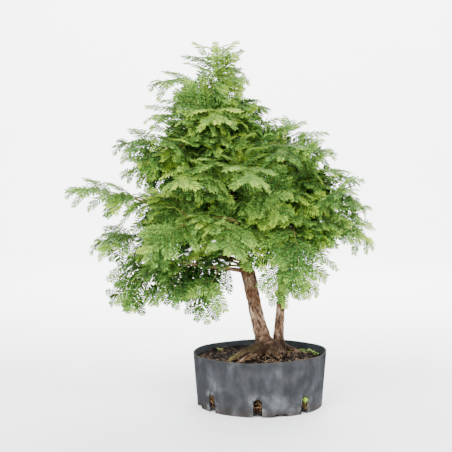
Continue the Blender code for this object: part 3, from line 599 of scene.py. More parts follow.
def upright_to(ahead, y, roll):
    """Which way a spray's upper face looks: up, and out of the crown to the front or the back of it."""
    outwards = -1.0 if y < FACE_PARTING else 1.0
    steep = ahead.z ** 2
    up = square_to(ahead, Vector((0.0, outwards * (FACE_LEAN + steep), 1.0 - steep)))
    return Matrix.Rotation(roll, 3, ahead) @ up


def skyward(out, face, ahead):
    """Which way a side frond faces: to the sky where its spray stands up, else as the spray does."""
    rise = max(0.0, ahead.z) ** 2
    return square_to(out, face + Vector((0.0, 0.0, SKYWARD * rise)))


def seat_on(wood, ahead):
    """Where a spray starts: just clear of all of its bough's end, which may point a little another way."""
    points, radii = wood
    last = (points[-1] - points[-2]).normalized()
    return points[-1] + ahead * (SEAT_GAP + radii[-1] * last.cross(ahead).length)


def side_fronds(main, rows, size, sunk=0.0, stations=()):
    """Side fronds on a main frond, from rows of (hand, share of the rib, length, lift in degrees)."""
    found = []
    for hand, share, length, lift in rows:
        fork, fork_ahead, fork_up = main.frame(main.length * share)
        away = Matrix.Rotation(hand * SIDE_ANGLE, 3, fork_up) @ fork_ahead
        tilt = Matrix.Rotation(math.radians(lift), 3, away.cross(fork_up))
        out = tilt @ away
        face = skyward(out, tilt @ fork_up, main.ahead)
        found.append(Frond(fork - fork_up * sunk, out, face, length * size, SIDE_RIB_RADIUS, stations))
    return found


def spray_of(wood, ahead, roll, size):
    """The fronds of a spray that starts just off the end of its twig."""
    seat = seat_on(wood, ahead)
    up = upright_to(ahead, seat.y, roll)
    main = Frond(seat, ahead, up, MAIN_RIB * size, MAIN_RIB_RADIUS, MAIN_STATIONS)
    return [main] + side_fronds(main, SIDE_FRONDS, size, ROOT_SUNK, SIDE_STATIONS)


def leaf_samples(fronds):
    """Points along each needle and rib, close enough together to tell whether two sprays would meet."""
    found = []
    for frond in fronds:
        steps = int(frond.length / SAMPLE_STEP) + 2
        found += [frond.at(0.0, 0.0, SAMPLE_STEP * i) for i in range(1, steps)]
        for along in frond.stations:
            for hand in (-1, 1):
                found += [frond.on_needle(along, hand, share) for share in (0.25, 0.5, 0.75, 1.0)]
    return found


def wood_samples(points, radii):
    """(point, radius) every few millimetres along a tube."""
    found = []
    for i in range(len(points) - 1):
        steps = max(1, int((points[i + 1] - points[i]).length / SAMPLE_STEP))
        for k in range(steps):
            share = k / steps
            radius = radii[i] + (radii[i + 1] - radii[i]) * share
            found.append((points[i].lerp(points[i + 1], share), radius))
    found.append((points[-1], radii[-1]))
    return found


def tree_of(points):
    tree = KDTree(max(1, len(points)))
    for i, point in enumerate(points):
        tree.insert(point, i)
    tree.balance()
    return tree


class Crown:
    """The growing tree: its twigs, its sprays, and the room that they take."""

    def __init__(self):
        self.twigs = []
        self.sprays = []
        self.leaf_points = []
        self.wood_points = []
        for trunk in TRUNKS.values():
            self.wood_points += wood_samples(*line_of(trunk))
        self.index()

    def index(self):
        self.leaf_tree = tree_of(self.leaf_points)
        self.wood_tree = tree_of([point for point, radius in self.wood_points])

    def free(self, spray, wood):
        """Whether a spray and its twig keep their distance from everything that has been placed."""
        for point in leaf_samples(spray):
            if self.leaf_points and self.leaf_tree.find(point)[2] < NEEDLE_ROOM:
                return False
            index, distance = self.wood_tree.find(point)[1:]
            if distance < self.wood_points[index][1] + WOOD_ROOM:
                return False
        for point, radius in wood_samples(*wood):
            if self.leaf_points and self.leaf_tree.find(point)[2] < radius + WOOD_ROOM:
                return False
        return True

    def room(self, spray):
        """How far a spray keeps from the others on the whole."""
        points = leaf_samples(spray)[::ROOM_STRIDE]
        return sum(self.leaf_tree.find(point)[2] for point in points) / len(points)

    def place(self, spray, wood):
        self.twigs.append(wood)
        self.sprays.append(spray)
        self.leaf_points += leaf_samples(spray)
        self.wood_points += wood_samples(*wood)
        self.index()


def bough_wood(start, start_radius, tip, rise, slope):
    """A bough up to where its spray begins: (points, radii), the direction there, and the spray's size."""
    flat = Vector((tip.x - start.x, tip.y - start.y, 0.0)).normalized()
    chord = flat * math.cos(rise) + Vector((0.0, 0.0, math.sin(rise)))
    ahead = flat * math.cos(rise + DROOP / 2) + Vector((0.0, 0.0, math.sin(rise + DROOP / 2)))
    # A spray that would start inside the trunk is a smaller one
    reach = (tip - start).xy.length - START_OFF_TRUNK
    size = min(1.0, max(SMALLEST_SPRAY, reach / (MAIN_RIB * math.cos(rise))))
    end = tip - chord * MAIN_RIB * size * CHORD
    span = (end - start).length
    leave = (flat + Vector((0.0, 0.0, slope))).normalized()
    count = 3 + min(2, int(span / BOUGH_PIECE))
    bend_out = start + leave * span * BOUGH_LEAVES
    bend_in = end - ahead * span * BOUGH_ARRIVES
    points = bezier(start, bend_out, bend_in, end, count)
    thick = TWIG_END_RADIUS + BOUGH_LEAST_TAPER + BOUGH_THICKENING * span
    thick = min(start_radius * BOUGH_TO_TRUNK, thick)
    radii = [thick + (TWIG_END_RADIUS - thick) * (i / (count - 1)) ** BOUGH_TAPER for i in range(count)]
    return (points, radii), ahead, size


def bends_gently(wood, ahead):
    """Whether a bough runs on into its spray without a sharp bend."""
    points = wood[0]
    return (points[-1] - points[-2]).angle(ahead) < SHARPEST_BEND


def side_twig(bough, share, hand, rng):
    """A twig that leaves a bough part of the way along, to one side."""
    points, radii = bough
    place = share * (len(points) - 1)
    i = min(int(place), len(points) - 2)
    start = points[i].lerp(points[i + 1], place - i)
    along = (points[i + 1] - points[i]).normalized()
    angle = hand * TWIG_ANGLE * rng.uniform(*TWIG_ANGLE_RANGE)
    ahead = Matrix.Rotation(angle, 3, square_to(along, Vector((0.0, 0.0, 1.0)))) @ along
    ahead = (ahead + Vector((0.0, 0.0, rng.uniform(-TWIG_CLIMB, TWIG_CLIMB)))).normalized()
    length = TWIG_LENGTH * rng.uniform(*TWIG_LENGTH_RANGE)
    arch = Vector((0.0, 0.0, TWIG_SAG * length))
    twig = [start, start + ahead * length / 2 + arch, start + ahead * length]
    thick = radii[i] * TWIG_ROOT_SHARE + TWIG_END_RADIUS * (1 - TWIG_ROOT_SHARE)
    return twig, [thick, (thick + TWIG_END_RADIUS) / 2, TWIG_END_RADIUS]


def grow_boughs(crown, rng):
    """The boughs that show in outline. Each one moves aside until it is clear of those before it."""
    grown = []
    for trunk, height, tip, rise, slope, twigs in BOUGHS:
        start, radius = on_trunk(TRUNKS[trunk], height)
        for trial in range(TRIALS):
            stray = STRAY * (trial / TRIALS) ** STRAY_CURVE
            aim = Vector(tip) + Vector([rng.uniform(-stray, stray) for axis in range(3)])
            roll = rng.uniform(-BOUGH_ROLL, BOUGH_ROLL) * (1 + BOUGH_ROLL_GAIN * trial / TRIALS)
            wood, ahead, size = bough_wood(start, radius, aim, math.radians(rise), slope)
            spray = spray_of(wood, ahead, roll, size)
            if crown.free(spray, wood) and bends_gently(wood, ahead):
                crown.place(spray, wood)
                grown.append((wood, twigs))
                break
    return grown


def grow_side_twigs(crown, rng, boughs):
    """Twigs with a smaller spray, to one side of the longest boughs and then the other."""
    for wood, twigs in boughs:
        for k in range(twigs):
            for trial in range(TRIALS):
                share = rng.uniform(*TWIG_PLACES) - TWIG_SPACING * k
                hand = (1 if k % 2 else -1) * (1 if trial % 2 else -1)
                twig = side_twig(wood, share, hand, rng)
                ahead = (twig[0][-1] - twig[0][-2]).normalized()
                spray = spray_of(twig, ahead, rng.uniform(-TWIG_ROLL, TWIG_ROLL), TWIG_SIZE)
                if crown.free(spray, twig):
                    crown.place(spray, twig)
                    break


def crown_middle(height):
    """The crown's middle and half its width at this height."""
    for low, high in zip(CROWN, CROWN[1:]):
        if height <= high[0]:
            share = (height - low[0]) / (high[0] - low[0])
            left = low[1] + (high[1] - low[1]) * share
            right = low[2] + (high[2] - low[2]) * share
            return (left + right) / 2, (right - left) / 2
    return 0.0, 0.0


def in_crown(point):
    middle, half = crown_middle(point.z)
    if half <= 0.0 or point.z < CROWN[0][0]:
        return False
    return ((point.x - middle) / half) ** 2 + (point.y / (half * CROWN_DEPTH)) ** 2 <= 1.0


def stray_bough(rng):
    """A bough to a random tip inside the crown's outline, from the trunk on that side."""
    height = rng.uniform(CROWN[0][0], HIGHEST_TIP)
    middle, half = crown_middle(height)
    turn = rng.uniform(0.0, math.tau)
    out = half * math.sqrt(rng.uniform(LEAST_OUT, 1.0))
    tip = Vector((middle + out * math.cos(turn), out * CROWN_DEPTH * math.sin(turn), height))
    on_young = tip.x > rng.uniform(0.0, BETWEEN_TRUNKS) and height < YOUNG_TRUNK_REACH
    trunk = TRUNKS["young" if on_young else "old"]
    high = (height - LOW_HEIGHT) / LOW_TO_HIGH
    rise = math.radians(LOW_RISE + RISE_GAIN * high + rng.uniform(-RISE_STRAY, RISE_STRAY))
    away = (tip - on_trunk(trunk, height)[0]).length
    leaves = height - math.sin(rise) * MAIN_RIB - away * rng.uniform(*BOUGH_CLIMB)
    leaves = min(max(leaves, LOWEST_BOUGH), trunk[-1][2] - BELOW_TRUNK_TOP)
    start, radius = on_trunk(trunk, leaves)
    wood, ahead, size = bough_wood(start, radius, tip, rise, LOW_SLOPE + SLOPE_GAIN * high)
    return wood, spray_of(wood, ahead, rng.uniform(-FILL_ROLL, FILL_ROLL), size)


def in_window(point, low, high):
    """Whether a point is in the front half of the tree, inside a window between these (x, z) corners."""
    return point.y < 0.0 and low[0] < point.x < high[0] and low[1] < point.z < high[1]


def hides_bough(spray):
    return any(in_window(point, *BARE_BOUGH_WINDOW) for point in leaf_samples(spray)[::ROOM_STRIDE])


def fits_crown(spray, start):
    """Whether a spray reaches well out from its trunk, with every frond's tip inside the outline."""
    tips = [frond.tip() for frond in spray]
    reach = (tips[0] - start).xy.length
    return reach > NEAREST_TIP and all(in_crown(tip) for tip in tips) and not hides_bough(spray)


def fill_crown(crown, rng):
    """Adds the bough that keeps furthest from the others, until the crown has all its sprays."""
    while len(crown.sprays) < SPRAYS:
        found = []
        while len(found) < FILL_TRIALS:
            wood, spray = stray_bough(rng)
            gentle = bends_gently(wood, spray[0].ahead)
            if gentle and fits_crown(spray, wood[0][0]) and crown.free(spray, wood):
                found.append((crown.room(spray), len(found), wood, spray))
        room, index, wood, spray = max(found)
        crown.place(spray, wood)


def grow():
    """The whole crown, from the outline inwards."""
    rng = random.Random(SEED)
    crown = Crown()
    boughs = grow_boughs(crown, rng)
    grow_side_twigs(crown, rng, boughs)
    fill_crown(crown, rng)
    return crown


def linear(colour):
    """An sRGB hex value as linear red, green and blue, with full alpha."""
    found = []
    for i in (0, 2, 4):
        share = int(colour[i:i + 2], 16) / 255
        found.append(share / 12.92 if share <= 0.04045 else ((share + 0.055) / 1.055) ** 2.4)
    return (*found, 1.0)


def feed(tree, made, inputs):
    """Sets inputs of a node, by name or number. One that is given a socket is linked to it."""
    for key, value in inputs.items():
        if isinstance(value, bpy.types.NodeSocket):
            tree.links.new(value, made.inputs[key])
        else:
            made.inputs[key].default_value = value


def node(tree, kind, inputs=None, out=0, stops=(), **settings):
    """Adds a node with its settings, inputs and links, and gives one of its outputs."""
    made = tree.nodes.new(kind)
    for name, value in settings.items():
        setattr(made, name, value)
    feed(tree, made, inputs or {})
    for i, (place, colour) in enumerate(stops):
        ramp = made.color_ramp.elements
        stop = ramp[i] if i < len(ramp) else ramp.new(place)
        stop.position = place
        stop.color = linear(colour)
    return made.outputs[out] if made.outputs else made


def grain(add, place, scale, detail, **more):
    """A noise pattern as a value at each place."""
    return add("ShaderNodeTexNoise", {"Vector": place, "Scale": scale, "Detail": detail, **more}, out="Fac")


def ranged(add, value, given, wanted):
    """A value carried over from one range to another, and held at its ends."""
    return add("ShaderNodeMapRange", {0: value, 1: given[0], 2: given[1], 3: wanted[0], 4: wanted[1]})


def blend(add, share, first, second):
    """A colour between two, by this share of the second."""
    return add("ShaderNodeMix", {0: share, 6: first, 7: second}, data_type="RGBA", out=2)


def worked(add, operation, *values):
    """What an operation makes of these values."""
    return add("ShaderNodeMath", dict(enumerate(values)), operation=operation)


def new_material(name, roughness, specular):
    """A new material, its node tree and its Principled shader."""
    made = bpy.data.materials.new(name)
    made.use_nodes = True
    shader = made.node_tree.nodes["Principled BSDF"]
    feed(made.node_tree, shader, {"Roughness": roughness, "Specular IOR Level": specular})
    return made, made.node_tree, shader


def moulded_polypropylene():
    """Grey moulded polypropylene: matt, clouded with lime, with painted shade on its inner wall and a
    painted highlight on its rim, splashed with soil at its foot and scuffed at its slots.
    """
    made, tree, shader = new_material("moulded_grey_polypropylene", 0.7, 0.0)
    add = partial(node, tree)
    place = add("ShaderNodeTexCoord", out="Object")
    # Clouds of wiped lime, 25 to 40 mm across
    cloud = grain(add, place, 30.0, 4.0, Roughness=0.55, Distortion=0.3)
    # Soft upright smears about 10 mm wide
    tall = add("ShaderNodeMapping", {"Vector": place, "Scale": (90.0, 90.0, 34.0)})
    streak = grain(add, tall, 1.0, 2.0)
    both = add("ShaderNodeMix", {0: 0.25, 2: cloud, 3: streak}, data_type="FLOAT")
    wiped = add("ShaderNodeValToRGB", {0: both},
                stops=((0.34, "292a2c"), (0.46, "333436"), (0.56, "3e3f42"), (0.70, "5c5f62")))
    scuff = add("ShaderNodeAttribute", attribute_name="scuff", out="Fac")
    rubbed = grain(add, place, 110.0, 4.0)
    rubbed = ranged(add, rubbed, (0.46, 0.66), (0.0, 0.55))
    pale = worked(add, "MULTIPLY", scuff, rubbed)
    scuffed = blend(add, pale, wiped, linear("8f9293"))
    # Inside, the wall is darkened with painted shade where its faces point inwards
    normal = add("ShaderNodeNewGeometry", out="Normal")
    facing = add("ShaderNodeVectorMath", {0: normal, 1: place}, operation="DOT_PRODUCT", out=1)
    inside = ranged(add, facing, (0.0, -0.02), (0.0, 0.8))
    inner_wall_shaded = blend(add, inside, scuffed, linear("3c4143"))
    # Faces that point up, the cut rim above all, are a paler tan: a painted highlight
    above = add("ShaderNodeSeparateXYZ", {0: normal}, out="Z")
    edge = ranged(add, above, (0.35, 0.8), (0.0, 0.4))
    grey = blend(add, edge, inner_wall_shaded, linear("6e6858"))
    # Soil splashed up the lowest 16 mm
    height = add("ShaderNodeSeparateXYZ", {0: place}, out="Z")
    low = ranged(add, height, (0.016, 0.0), (0.0, 0.55))
    speck = grain(add, place, 190.0, 4.0)
    splash = worked(add, "MULTIPLY", low, speck)
    dirty = blend(add, splash, grey, linear("4a3b2c"))
    rough = ranged(add, both, (0.35, 0.7), (0.42, 0.66))
    scratch = grain(add, tall, 3.0, 6.0)
    bump = add("ShaderNodeBump", {"Strength": 0.12, "Distance": 0.0005, "Height": scratch})
    feed(tree, shader, {"Base Color": dirty, "Roughness": rough, "Normal": bump})
    return made


def damp_compost(name, dark, middle, pale):
    """Bark compost: matt and nearly black where damp, brown on the crumbs that have dried."""
    made, tree, shader = new_material(name, 0.95, 0.05)
    add = partial(node, tree)
    place = add("ShaderNodeTexCoord", out="Object")
    patch = grain(add, place, 55.0, 3.0)
    # Each crumb, about 2 mm across, has its own brown
    crumb = grain(add, place, 520.0, 2.0)
    both = add("ShaderNodeMix", {0: 0.6, 2: patch, 3: crumb}, data_type="FLOAT")
    brown = add("ShaderNodeValToRGB", {0: both}, stops=((0.36, dark), (0.52, middle), (0.70, pale)))
    bump = add("ShaderNodeBump", {"Strength": 0.6, "Distance": 0.0008, "Height": crumb})
    feed(tree, shader, {"Base Color": brown, "Normal": bump})
    return made


def redwood_bark():
    """Fibrous bark: matt, red-brown where it has just peeled, pale tan where old strips still hold."""
    made, tree, shader = new_material("fibrous_redwood_bark", 0.88, 0.1)
    add = partial(node, tree)
    place = add("ShaderNodeTexCoord", out="Object")
    height = add("ShaderNodeSeparateXYZ", {0: place}, out="Z")
    relief = add("ShaderNodeAttribute", attribute_name="relief", out="Fac")
    youth = add("ShaderNodeAttribute", attribute_name="youth", out="Fac")
    # Flakes about 3 mm wide and 6 mm tall
    tall = add("ShaderNodeMapping", {"Vector": place, "Scale": (330.0, 330.0, 170.0)})
    strip = grain(add, tall, 1.0, 4.0, Roughness=0.65)
    both = add("ShaderNodeMix", {0: 0.5, 2: relief, 3: strip}, data_type="FLOAT")
    red = add("ShaderNodeValToRGB", {0: both},
              stops=((0.30, "170e09"), (0.43, "3a261a"), (0.56, "63452f"), (0.72, "93745a")))
    tan = add("ShaderNodeValToRGB", {0: both},
              stops=((0.34, "1a110b"), (0.44, "49352a"), (0.54, "7a614c"), (0.66, "ab917b")))
    # Pale patches, 15 to 30 mm across, mostly below the crown
    patch = grain(add, place, 42.0, 2.0)
    low = ranged(add, height, (0.22, 0.12), (-0.10, 0.16))
    weather = worked(add, "ADD", patch, low)
    pale = ranged(add, weather, (0.47, 0.63), (0.0, 1.0))
    old = blend(add, pale, red, tan)
    # Painted shade darkens the bark from 110 mm down, less so on the roots from 84 mm down, and it is green
    # under the moss
    foot = ranged(add, height, (0.110, 0.090), (0.0, 0.9))
    bare = ranged(add, height, (0.084, 0.070), (1.0, 0.5))
    foot = worked(add, "MULTIPLY", foot, bare)
    foot_shaded = blend(add, foot, old, linear("1e140b"))
    moss = add("ShaderNodeAttribute", attribute_name="loose", out="Fac")
    mossy = blend(add, moss, foot_shaded, linear("5a5a2c"))
    # Young twigs are still green
    fresh = blend(add, youth, mossy, linear("66602f"))
    bump = add("ShaderNodeBump", {"Strength": 0.8, "Distance": 0.0007, "Height": strip})
    feed(tree, shader, {"Base Color": fresh, "Normal": bump})
    return made


def soft_needles(name, stops, glow):
    """Soft deciduous needles: thin and half matt, lit through from behind, palest at the new tips, with
    painted shade at the needles' roots and deep inside the crown.
    """
    made, tree, shader = new_material(name, 0.6, 0.12)
    add = partial(node, tree)
    place = add("ShaderNodeTexCoord", out="Object")
    tint = add("ShaderNodeAttribute", attribute_name="tint", out="Fac")
    blade = add("ShaderNodeAttribute", attribute_name="blade", out="Fac")
    reach = add("ShaderNodeAttribute", attribute_name="reach", out="Fac")
    # Neighbouring needles differ a little: the pattern is 3 mm across
    patch = grain(add, place, 330.0, 1.0)
    uneven = ranged(add, patch, (0.32, 0.68), (-0.22, 0.18))
    # Each needle is darker at its root by the rib and paler towards its tip: painted shade
    root_shaded = worked(add, "MULTIPLY_ADD", reach, 0.17, tint)
    level = worked(add, "ADD", root_shaded, uneven)
    green = add("ShaderNodeValToRGB", {0: level}, stops=stops)
    rib = blend(add, 0.6, green, linear("66702e"))
    leaf = blend(add, blade, rib, green)
    feed(tree, shader, {"Base Color": leaf})
    lit = blend(add, 0.35, leaf, linear("b0e028"))
    through = add("ShaderNodeBsdfTranslucent", {"Color": lit})
    both = add("ShaderNodeMixShader", {0: glow, 1: shader.outputs[0], 2: through})
    feed(tree, tree.nodes["Material Output"], {"Surface": both})
    return made


def plain_growth(name, dark, pale, roughness):
    """Moss, weed leaves and rootlets: one soft colour that drifts from piece to piece."""
    made, tree, shader = new_material(name, roughness, 0.1)
    add = partial(node, tree)
    place = add("ShaderNodeTexCoord", out="Object")
    drift = grain(add, place, 160.0, 2.0)
    colour = add("ShaderNodeValToRGB", {0: drift}, stops=((0.35, dark), (0.65, pale)))
    feed(tree, shader, {"Base Color": colour})
    return made


def plain_paint(name, colour, roughness):
    """The matt paint of the floor and the wall behind."""
    made, tree, shader = new_material(name, roughness, 0.3)
    add = partial(node, tree)
    place = add("ShaderNodeTexCoord", out="Object")
    drift = grain(add, place, 1.5, 2.0)
    mixed = blend(add, drift, linear(colour), linear(FLOOR_DRIFT))
    feed(tree, shader, {"Base Color": mixed})
    return made


def put_mesh(name, mesh):
    """A new object for this mesh, at the origin."""
    obj = bpy.data.objects.new(name, mesh)
    bpy.context.scene.collection.objects.link(obj)
    return obj


def settled(obj):
    """Replaces an object with a plain mesh of what its modifiers make, with its place in the mesh."""
    bpy.context.view_layer.update()
    graph = bpy.context.evaluated_depsgraph_get()
    mesh = bpy.data.meshes.new_from_object(obj.evaluated_get(graph), preserve_all_data_layers=True,
                                           depsgraph=graph)
    mesh.transform(obj.matrix_world)
    name = obj.name
    bpy.data.objects.remove(obj)
    made = put_mesh(name, mesh)
    mesh.name = name
    return made


def finished(piece, slot, *nodes):
    """Sets a piece on the object's body and hides the solids that it stands for; its slot is not used."""
    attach(piece, "root")
    if nodes:
        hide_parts(*nodes)
    return piece


def coated(obj, finish):
    """Gives a piece its material and smooth shading."""
    obj.data.shade_smooth()
    obj.data.materials.append(finish)
    return obj


def point_values(obj, name, values):
    """Gives every point of an object a number under this name."""
    obj.data.attributes.new(name, "FLOAT", "POINT").data.foreach_set("value", values)


def new_tree(name, inputs):
    """A geometry node tree with these named inputs, (name, kind of socket, value)."""
    tree = bpy.data.node_groups.new(name, "GeometryNodeTree")
    for label, kind, value in inputs:
        socket = tree.interface.new_socket(label, in_out="INPUT", socket_type="NodeSocket" + kind)
        if value is not None:
            socket.default_value = value
    tree.interface.new_socket("Made", in_out="OUTPUT", socket_type="NodeSocketGeometry")
    return tree, node(tree, "NodeGroupInput").node.outputs


def run_tree(obj, tree, **inputs):
    """Gives an object a node tree with these inputs, and settles it."""
    change = obj.modifiers.new(tree.name, "NODES")
    change.node_group = tree
    for socket in tree.interface.items_tree:
        label = socket.name.lower().replace(" ", "_")
        if socket.in_out == "INPUT" and label in inputs:
            change[socket.identifier] = inputs[label]
    return settled(obj)


def needle_tree():
    """Needles in two ranks along ribs. Each rib is a line of points that know which way is ahead and up."""
    tree, given = new_tree("needles_in_two_ranks", (
        ("Ribs", "Geometry", None),
        ("Needle", "Object", None),
        ("Pitch", "Float", NEEDLE_PITCH),
        ("Length", "Float", NEEDLE_LENGTH),
        ("Width", "Float", FINE_NEEDLE_WIDTH),
        ("Thickness", "Float", NEEDLE_THICKNESS),
        ("Root angle", "Float", math.radians(NEEDLE_ANGLE)),
        ("Angle fall", "Float", math.radians(NEEDLE_ANGLE_FALL)),
        ("Sag", "Float", NEEDLE_SAG),
        ("Jitter", "Float", NEEDLE_JITTER),
        ("Seed", "Int", FINE_SEED),
        ("Finish", "Material", None),
    ))
    add = partial(node, tree)
    known = {}
    for name, kind in (("ahead", "FLOAT_VECTOR"), ("up", "FLOAT_VECTOR"), ("along", "FLOAT"),
                       ("vigour", "FLOAT"), ("thick", "FLOAT")):
        known[name] = add("GeometryNodeInputNamedAttribute", {"Name": name}, data_type=kind)
    ahead = known["ahead"]
    up = known["up"]
    ribs = add("GeometryNodeMeshToCurve", {0: given["Ribs"]})
    ring = add("GeometryNodeCurvePrimitiveCircle", {"Resolution": 3, "Radius": 1.0})
    tubes = add("GeometryNodeCurveToMesh", {0: ribs, 1: ring, 2: known["thick"], 3: True})
    rooted = add("GeometryNodeResampleCurve", {0: ribs, 3: given["Pitch"]}, mode="LENGTH")
    chosen = add("FunctionNodeCompare", {0: known["along"], 1: FIRST_NEEDLE}, data_type="FLOAT",
                 operation="GREATER_THAN")
    reach = add("ShaderNodeFloatCurve", {1: known["along"]})
    mapping = reach.node.mapping
    points = mapping.curves[0].points
    for i, (share, value) in enumerate(NEEDLE_REACHES):
        there = i < len(points) - 1 or i == len(NEEDLE_REACHES) - 1
        point = points[i] if there else points.new(share, value)
        point.location = (share, value)
    mapping.update()
    side = add("ShaderNodeVectorMath", {0: ahead, 1: up}, operation="CROSS_PRODUCT")
    fallen = worked(add, "MULTIPLY", known["along"], given["Angle fall"])
    angle = worked(add, "SUBTRACT", given["Root angle"], fallen)
    less = worked(add, "MULTIPLY", given["Jitter"], -1.0)
    lowered = worked(add, "MULTIPLY", given["Sag"], -1.0)
    full = worked(add, "MULTIPLY", reach, given["Length"])
    grown = worked(add, "MULTIPLY", full, known["vigour"])
    blade = add("GeometryNodeObjectInfo", {0: given["Needle"], 1: True}, out="Geometry")
    parts = [tubes]
    for hand in (-1, 1):
        stray = [add("FunctionNodeRandomValue", {2: less, 3: given["Jitter"], 8: 3 * hand + k},
                     data_type="FLOAT", out=1) for k in range(3)]
        turn = worked(add, "ADD", angle, stray[0])
        forward = worked(add, "COSINE", turn)
        outward = worked(add, "SINE", turn)
        outward = worked(add, "MULTIPLY", outward, float(hand))
        rise = worked(add, "MULTIPLY_ADD", stray[1], 1.5, lowered)
        way = add("ShaderNodeVectorMath", {0: ahead, 3: forward}, operation="SCALE")
        across = add("ShaderNodeVectorMath", {0: side, 3: outward}, operation="SCALE")
        over = add("ShaderNodeVectorMath", {0: up, 3: rise}, operation="SCALE")
        way = add("ShaderNodeVectorMath", {0: way, 1: across}, operation="ADD")
        way = add("ShaderNodeVectorMath", {0: way, 1: over}, operation="ADD")
        rolled = add("ShaderNodeVectorMath", {0: side, 3: stray[2]}, operation="SCALE")
        face = add("ShaderNodeVectorMath", {0: up, 1: rolled}, operation="ADD")
        turned_to = add("FunctionNodeAxesToRotation", {0: way, 1: face}, primary_axis="X",
                        secondary_axis="Z")
        size = worked(add, "ADD", stray[1], 1.0)
        length = worked(add, "MULTIPLY", grown, size)
        scale = add("ShaderNodeCombineXYZ", {0: length, 1: given["Width"], 2: given["Thickness"]})
        parts.append(add("GeometryNodeInstanceOnPoints", {
            0: rooted, 1: chosen, 2: blade, 5: turned_to, 6: scale}))
    joined = add("GeometryNodeJoinGeometry")
    for part in reversed(parts):
        feed(tree, joined.node, {0: part})
    real = add("GeometryNodeRealizeInstances", {0: joined})
    made = add("GeometryNodeSetMaterial", {0: real, 2: given["Finish"]})
    add("NodeGroupOutput", {0: made})
    return tree


def scatter_tree():
    """Small pieces strewn over a surface, thickest where its "loose" value is 1."""
    tree, given = new_tree("strewn_pieces", (
        ("Ground", "Geometry", None),
        ("Piece", "Object", None),
        ("Density", "Float", 1000.0),
        ("Smallest", "Float", 0.001),
        ("Largest", "Float", 0.002),
        ("Lie flat", "Float", 0.5),
        ("Sink", "Float", 0.3),
        ("Seed", "Int", FINE_SEED),
        ("Finish", "Material", None),
    ))
    add = partial(node, tree)
    loose = add("GeometryNodeInputNamedAttribute", {"Name": "loose"}, data_type="FLOAT")
    density = worked(add, "MULTIPLY", given["Density"], loose)
    spread = add("GeometryNodeDistributePointsOnFaces", {0: given["Ground"], 4: density, 6: given["Seed"]})
    upright = spread.node.outputs["Normal"]
    spin = add("FunctionNodeRandomValue", {0: (-math.pi,) * 3, 1: (math.pi,) * 3, 8: given["Seed"]},
               data_type="FLOAT_VECTOR")
    free = add("FunctionNodeEulerToRotation", {0: spin})
    laid = add("FunctionNodeAlignRotationToVector", {0: free, 1: given["Lie flat"], 2: upright},
               axis="Z")
    size = add("FunctionNodeRandomValue", {2: given["Smallest"], 3: given["Largest"],
                                           8: given["Seed"]}, data_type="FLOAT", out=1)
    depth = worked(add, "MULTIPLY", size, given["Sink"])
    depth = worked(add, "MULTIPLY", depth, -1.0)
    down = add("ShaderNodeVectorMath", {0: upright, 3: depth}, operation="SCALE")
    sunk = add("GeometryNodeSetPosition", {0: spread, 3: down})
    piece = add("GeometryNodeObjectInfo", {0: given["Piece"], 1: True}, out="Geometry")
    strewn = add("GeometryNodeInstanceOnPoints", {0: sunk, 2: piece, 5: laid, 6: size})
    real = add("GeometryNodeRealizeInstances", {0: strewn})
    made = add("GeometryNodeSetMaterial", {0: real, 2: given["Finish"]})
    add("NodeGroupOutput", {0: made})
    return tree


def loft(bm, rings):
    """Adds a closed form through rings of points. A ring of one point is a pole."""
    rows = [[bm.verts.new(point) for point in ring] for ring in rings]
    for end in (rows[0], rows[-1]):
        if len(end) > 1:
            bm.faces.new(end)
    for low, high in zip(rows, rows[1:]):
        count = max(len(low), len(high))
        for i in range(count):
            k = (i + 1) % count
            corners = (low[i % len(low)], low[k % len(low)], high[k % len(high)], high[i % len(high)])
            bm.faces.new(dict.fromkeys(corners))


def drawn(name, bm):
    """The mesh of what has been drawn."""
    mesh = bpy.data.meshes.new(name)
    bm.to_mesh(mesh)
    bm.free()
    return mesh


def turned_out(name, bm):
    """The mesh of what has been drawn, with its faces pointing out."""
    bmesh.ops.recalc_face_normals(bm, faces=bm.faces)
    return drawn(name, bm)


def lofted(name, rings):
    bm = bmesh.new()
    loft(bm, rings)
    return turned_out(name, bm)


def with_poles(rings):
    """The same rings, drawn together at both ends."""
    first = sum(rings[0], Vector()) / len(rings[0])
    last = sum(rings[-1], Vector()) / len(rings[-1])
    return [[first]] + rings + [[last]]


def make_needle():
    """One needle of unit length, width and thickness: flat above, keeled below, bowed down at the tip."""
    rings = []
    for along, half, droop in ((0.0, 0.30, 0.0), (0.60, 0.50, -0.18)):
        rings.append([Vector((along, half, droop)), Vector((along, 0.0, droop - 0.5)),
                      Vector((along, -half, droop))])
    rings.append([Vector((1.0, 0.0, -0.75))])
    needle = put_mesh("needle", lofted("needle", rings))
    point_values(needle, "blade", [1.0] * len(needle.data.vertices))
    point_values(needle, "reach", [vertex.co.x for vertex in needle.data.vertices])
    return needle


def make_crumb():
    """A crumb of compost, a unit across, with a lumpy surface."""
    bm = bmesh.new()
    bmesh.ops.create_icosphere(bm, subdivisions=1, radius=0.5)
    for vertex in bm.verts:
        vertex.co *= 1.0 + 0.45 * noise.noise(vertex.co * 2.7 + Vector((3.1, 0.4, 1.7)))
    return put_mesh("crumb", drawn("crumb", bm))


def make_chip():
    """A splinter of composted bark, a unit long: flat, with torn ends."""
    rings = []
    for along, half in ((-0.5, 0.06), (-0.38, 0.19), (0.05, 0.23), (0.36, 0.15), (0.5, 0.05)):
        lift = 0.06 * math.sin(along * 7)
        rings.append([Vector((along, half, lift)), Vector((along, 0.0, lift + 0.09)),
                      Vector((along, -half, lift)), Vector((along, 0.0, lift - 0.07))])
    return put_mesh("chip", lofted("chip", with_poles(rings)))


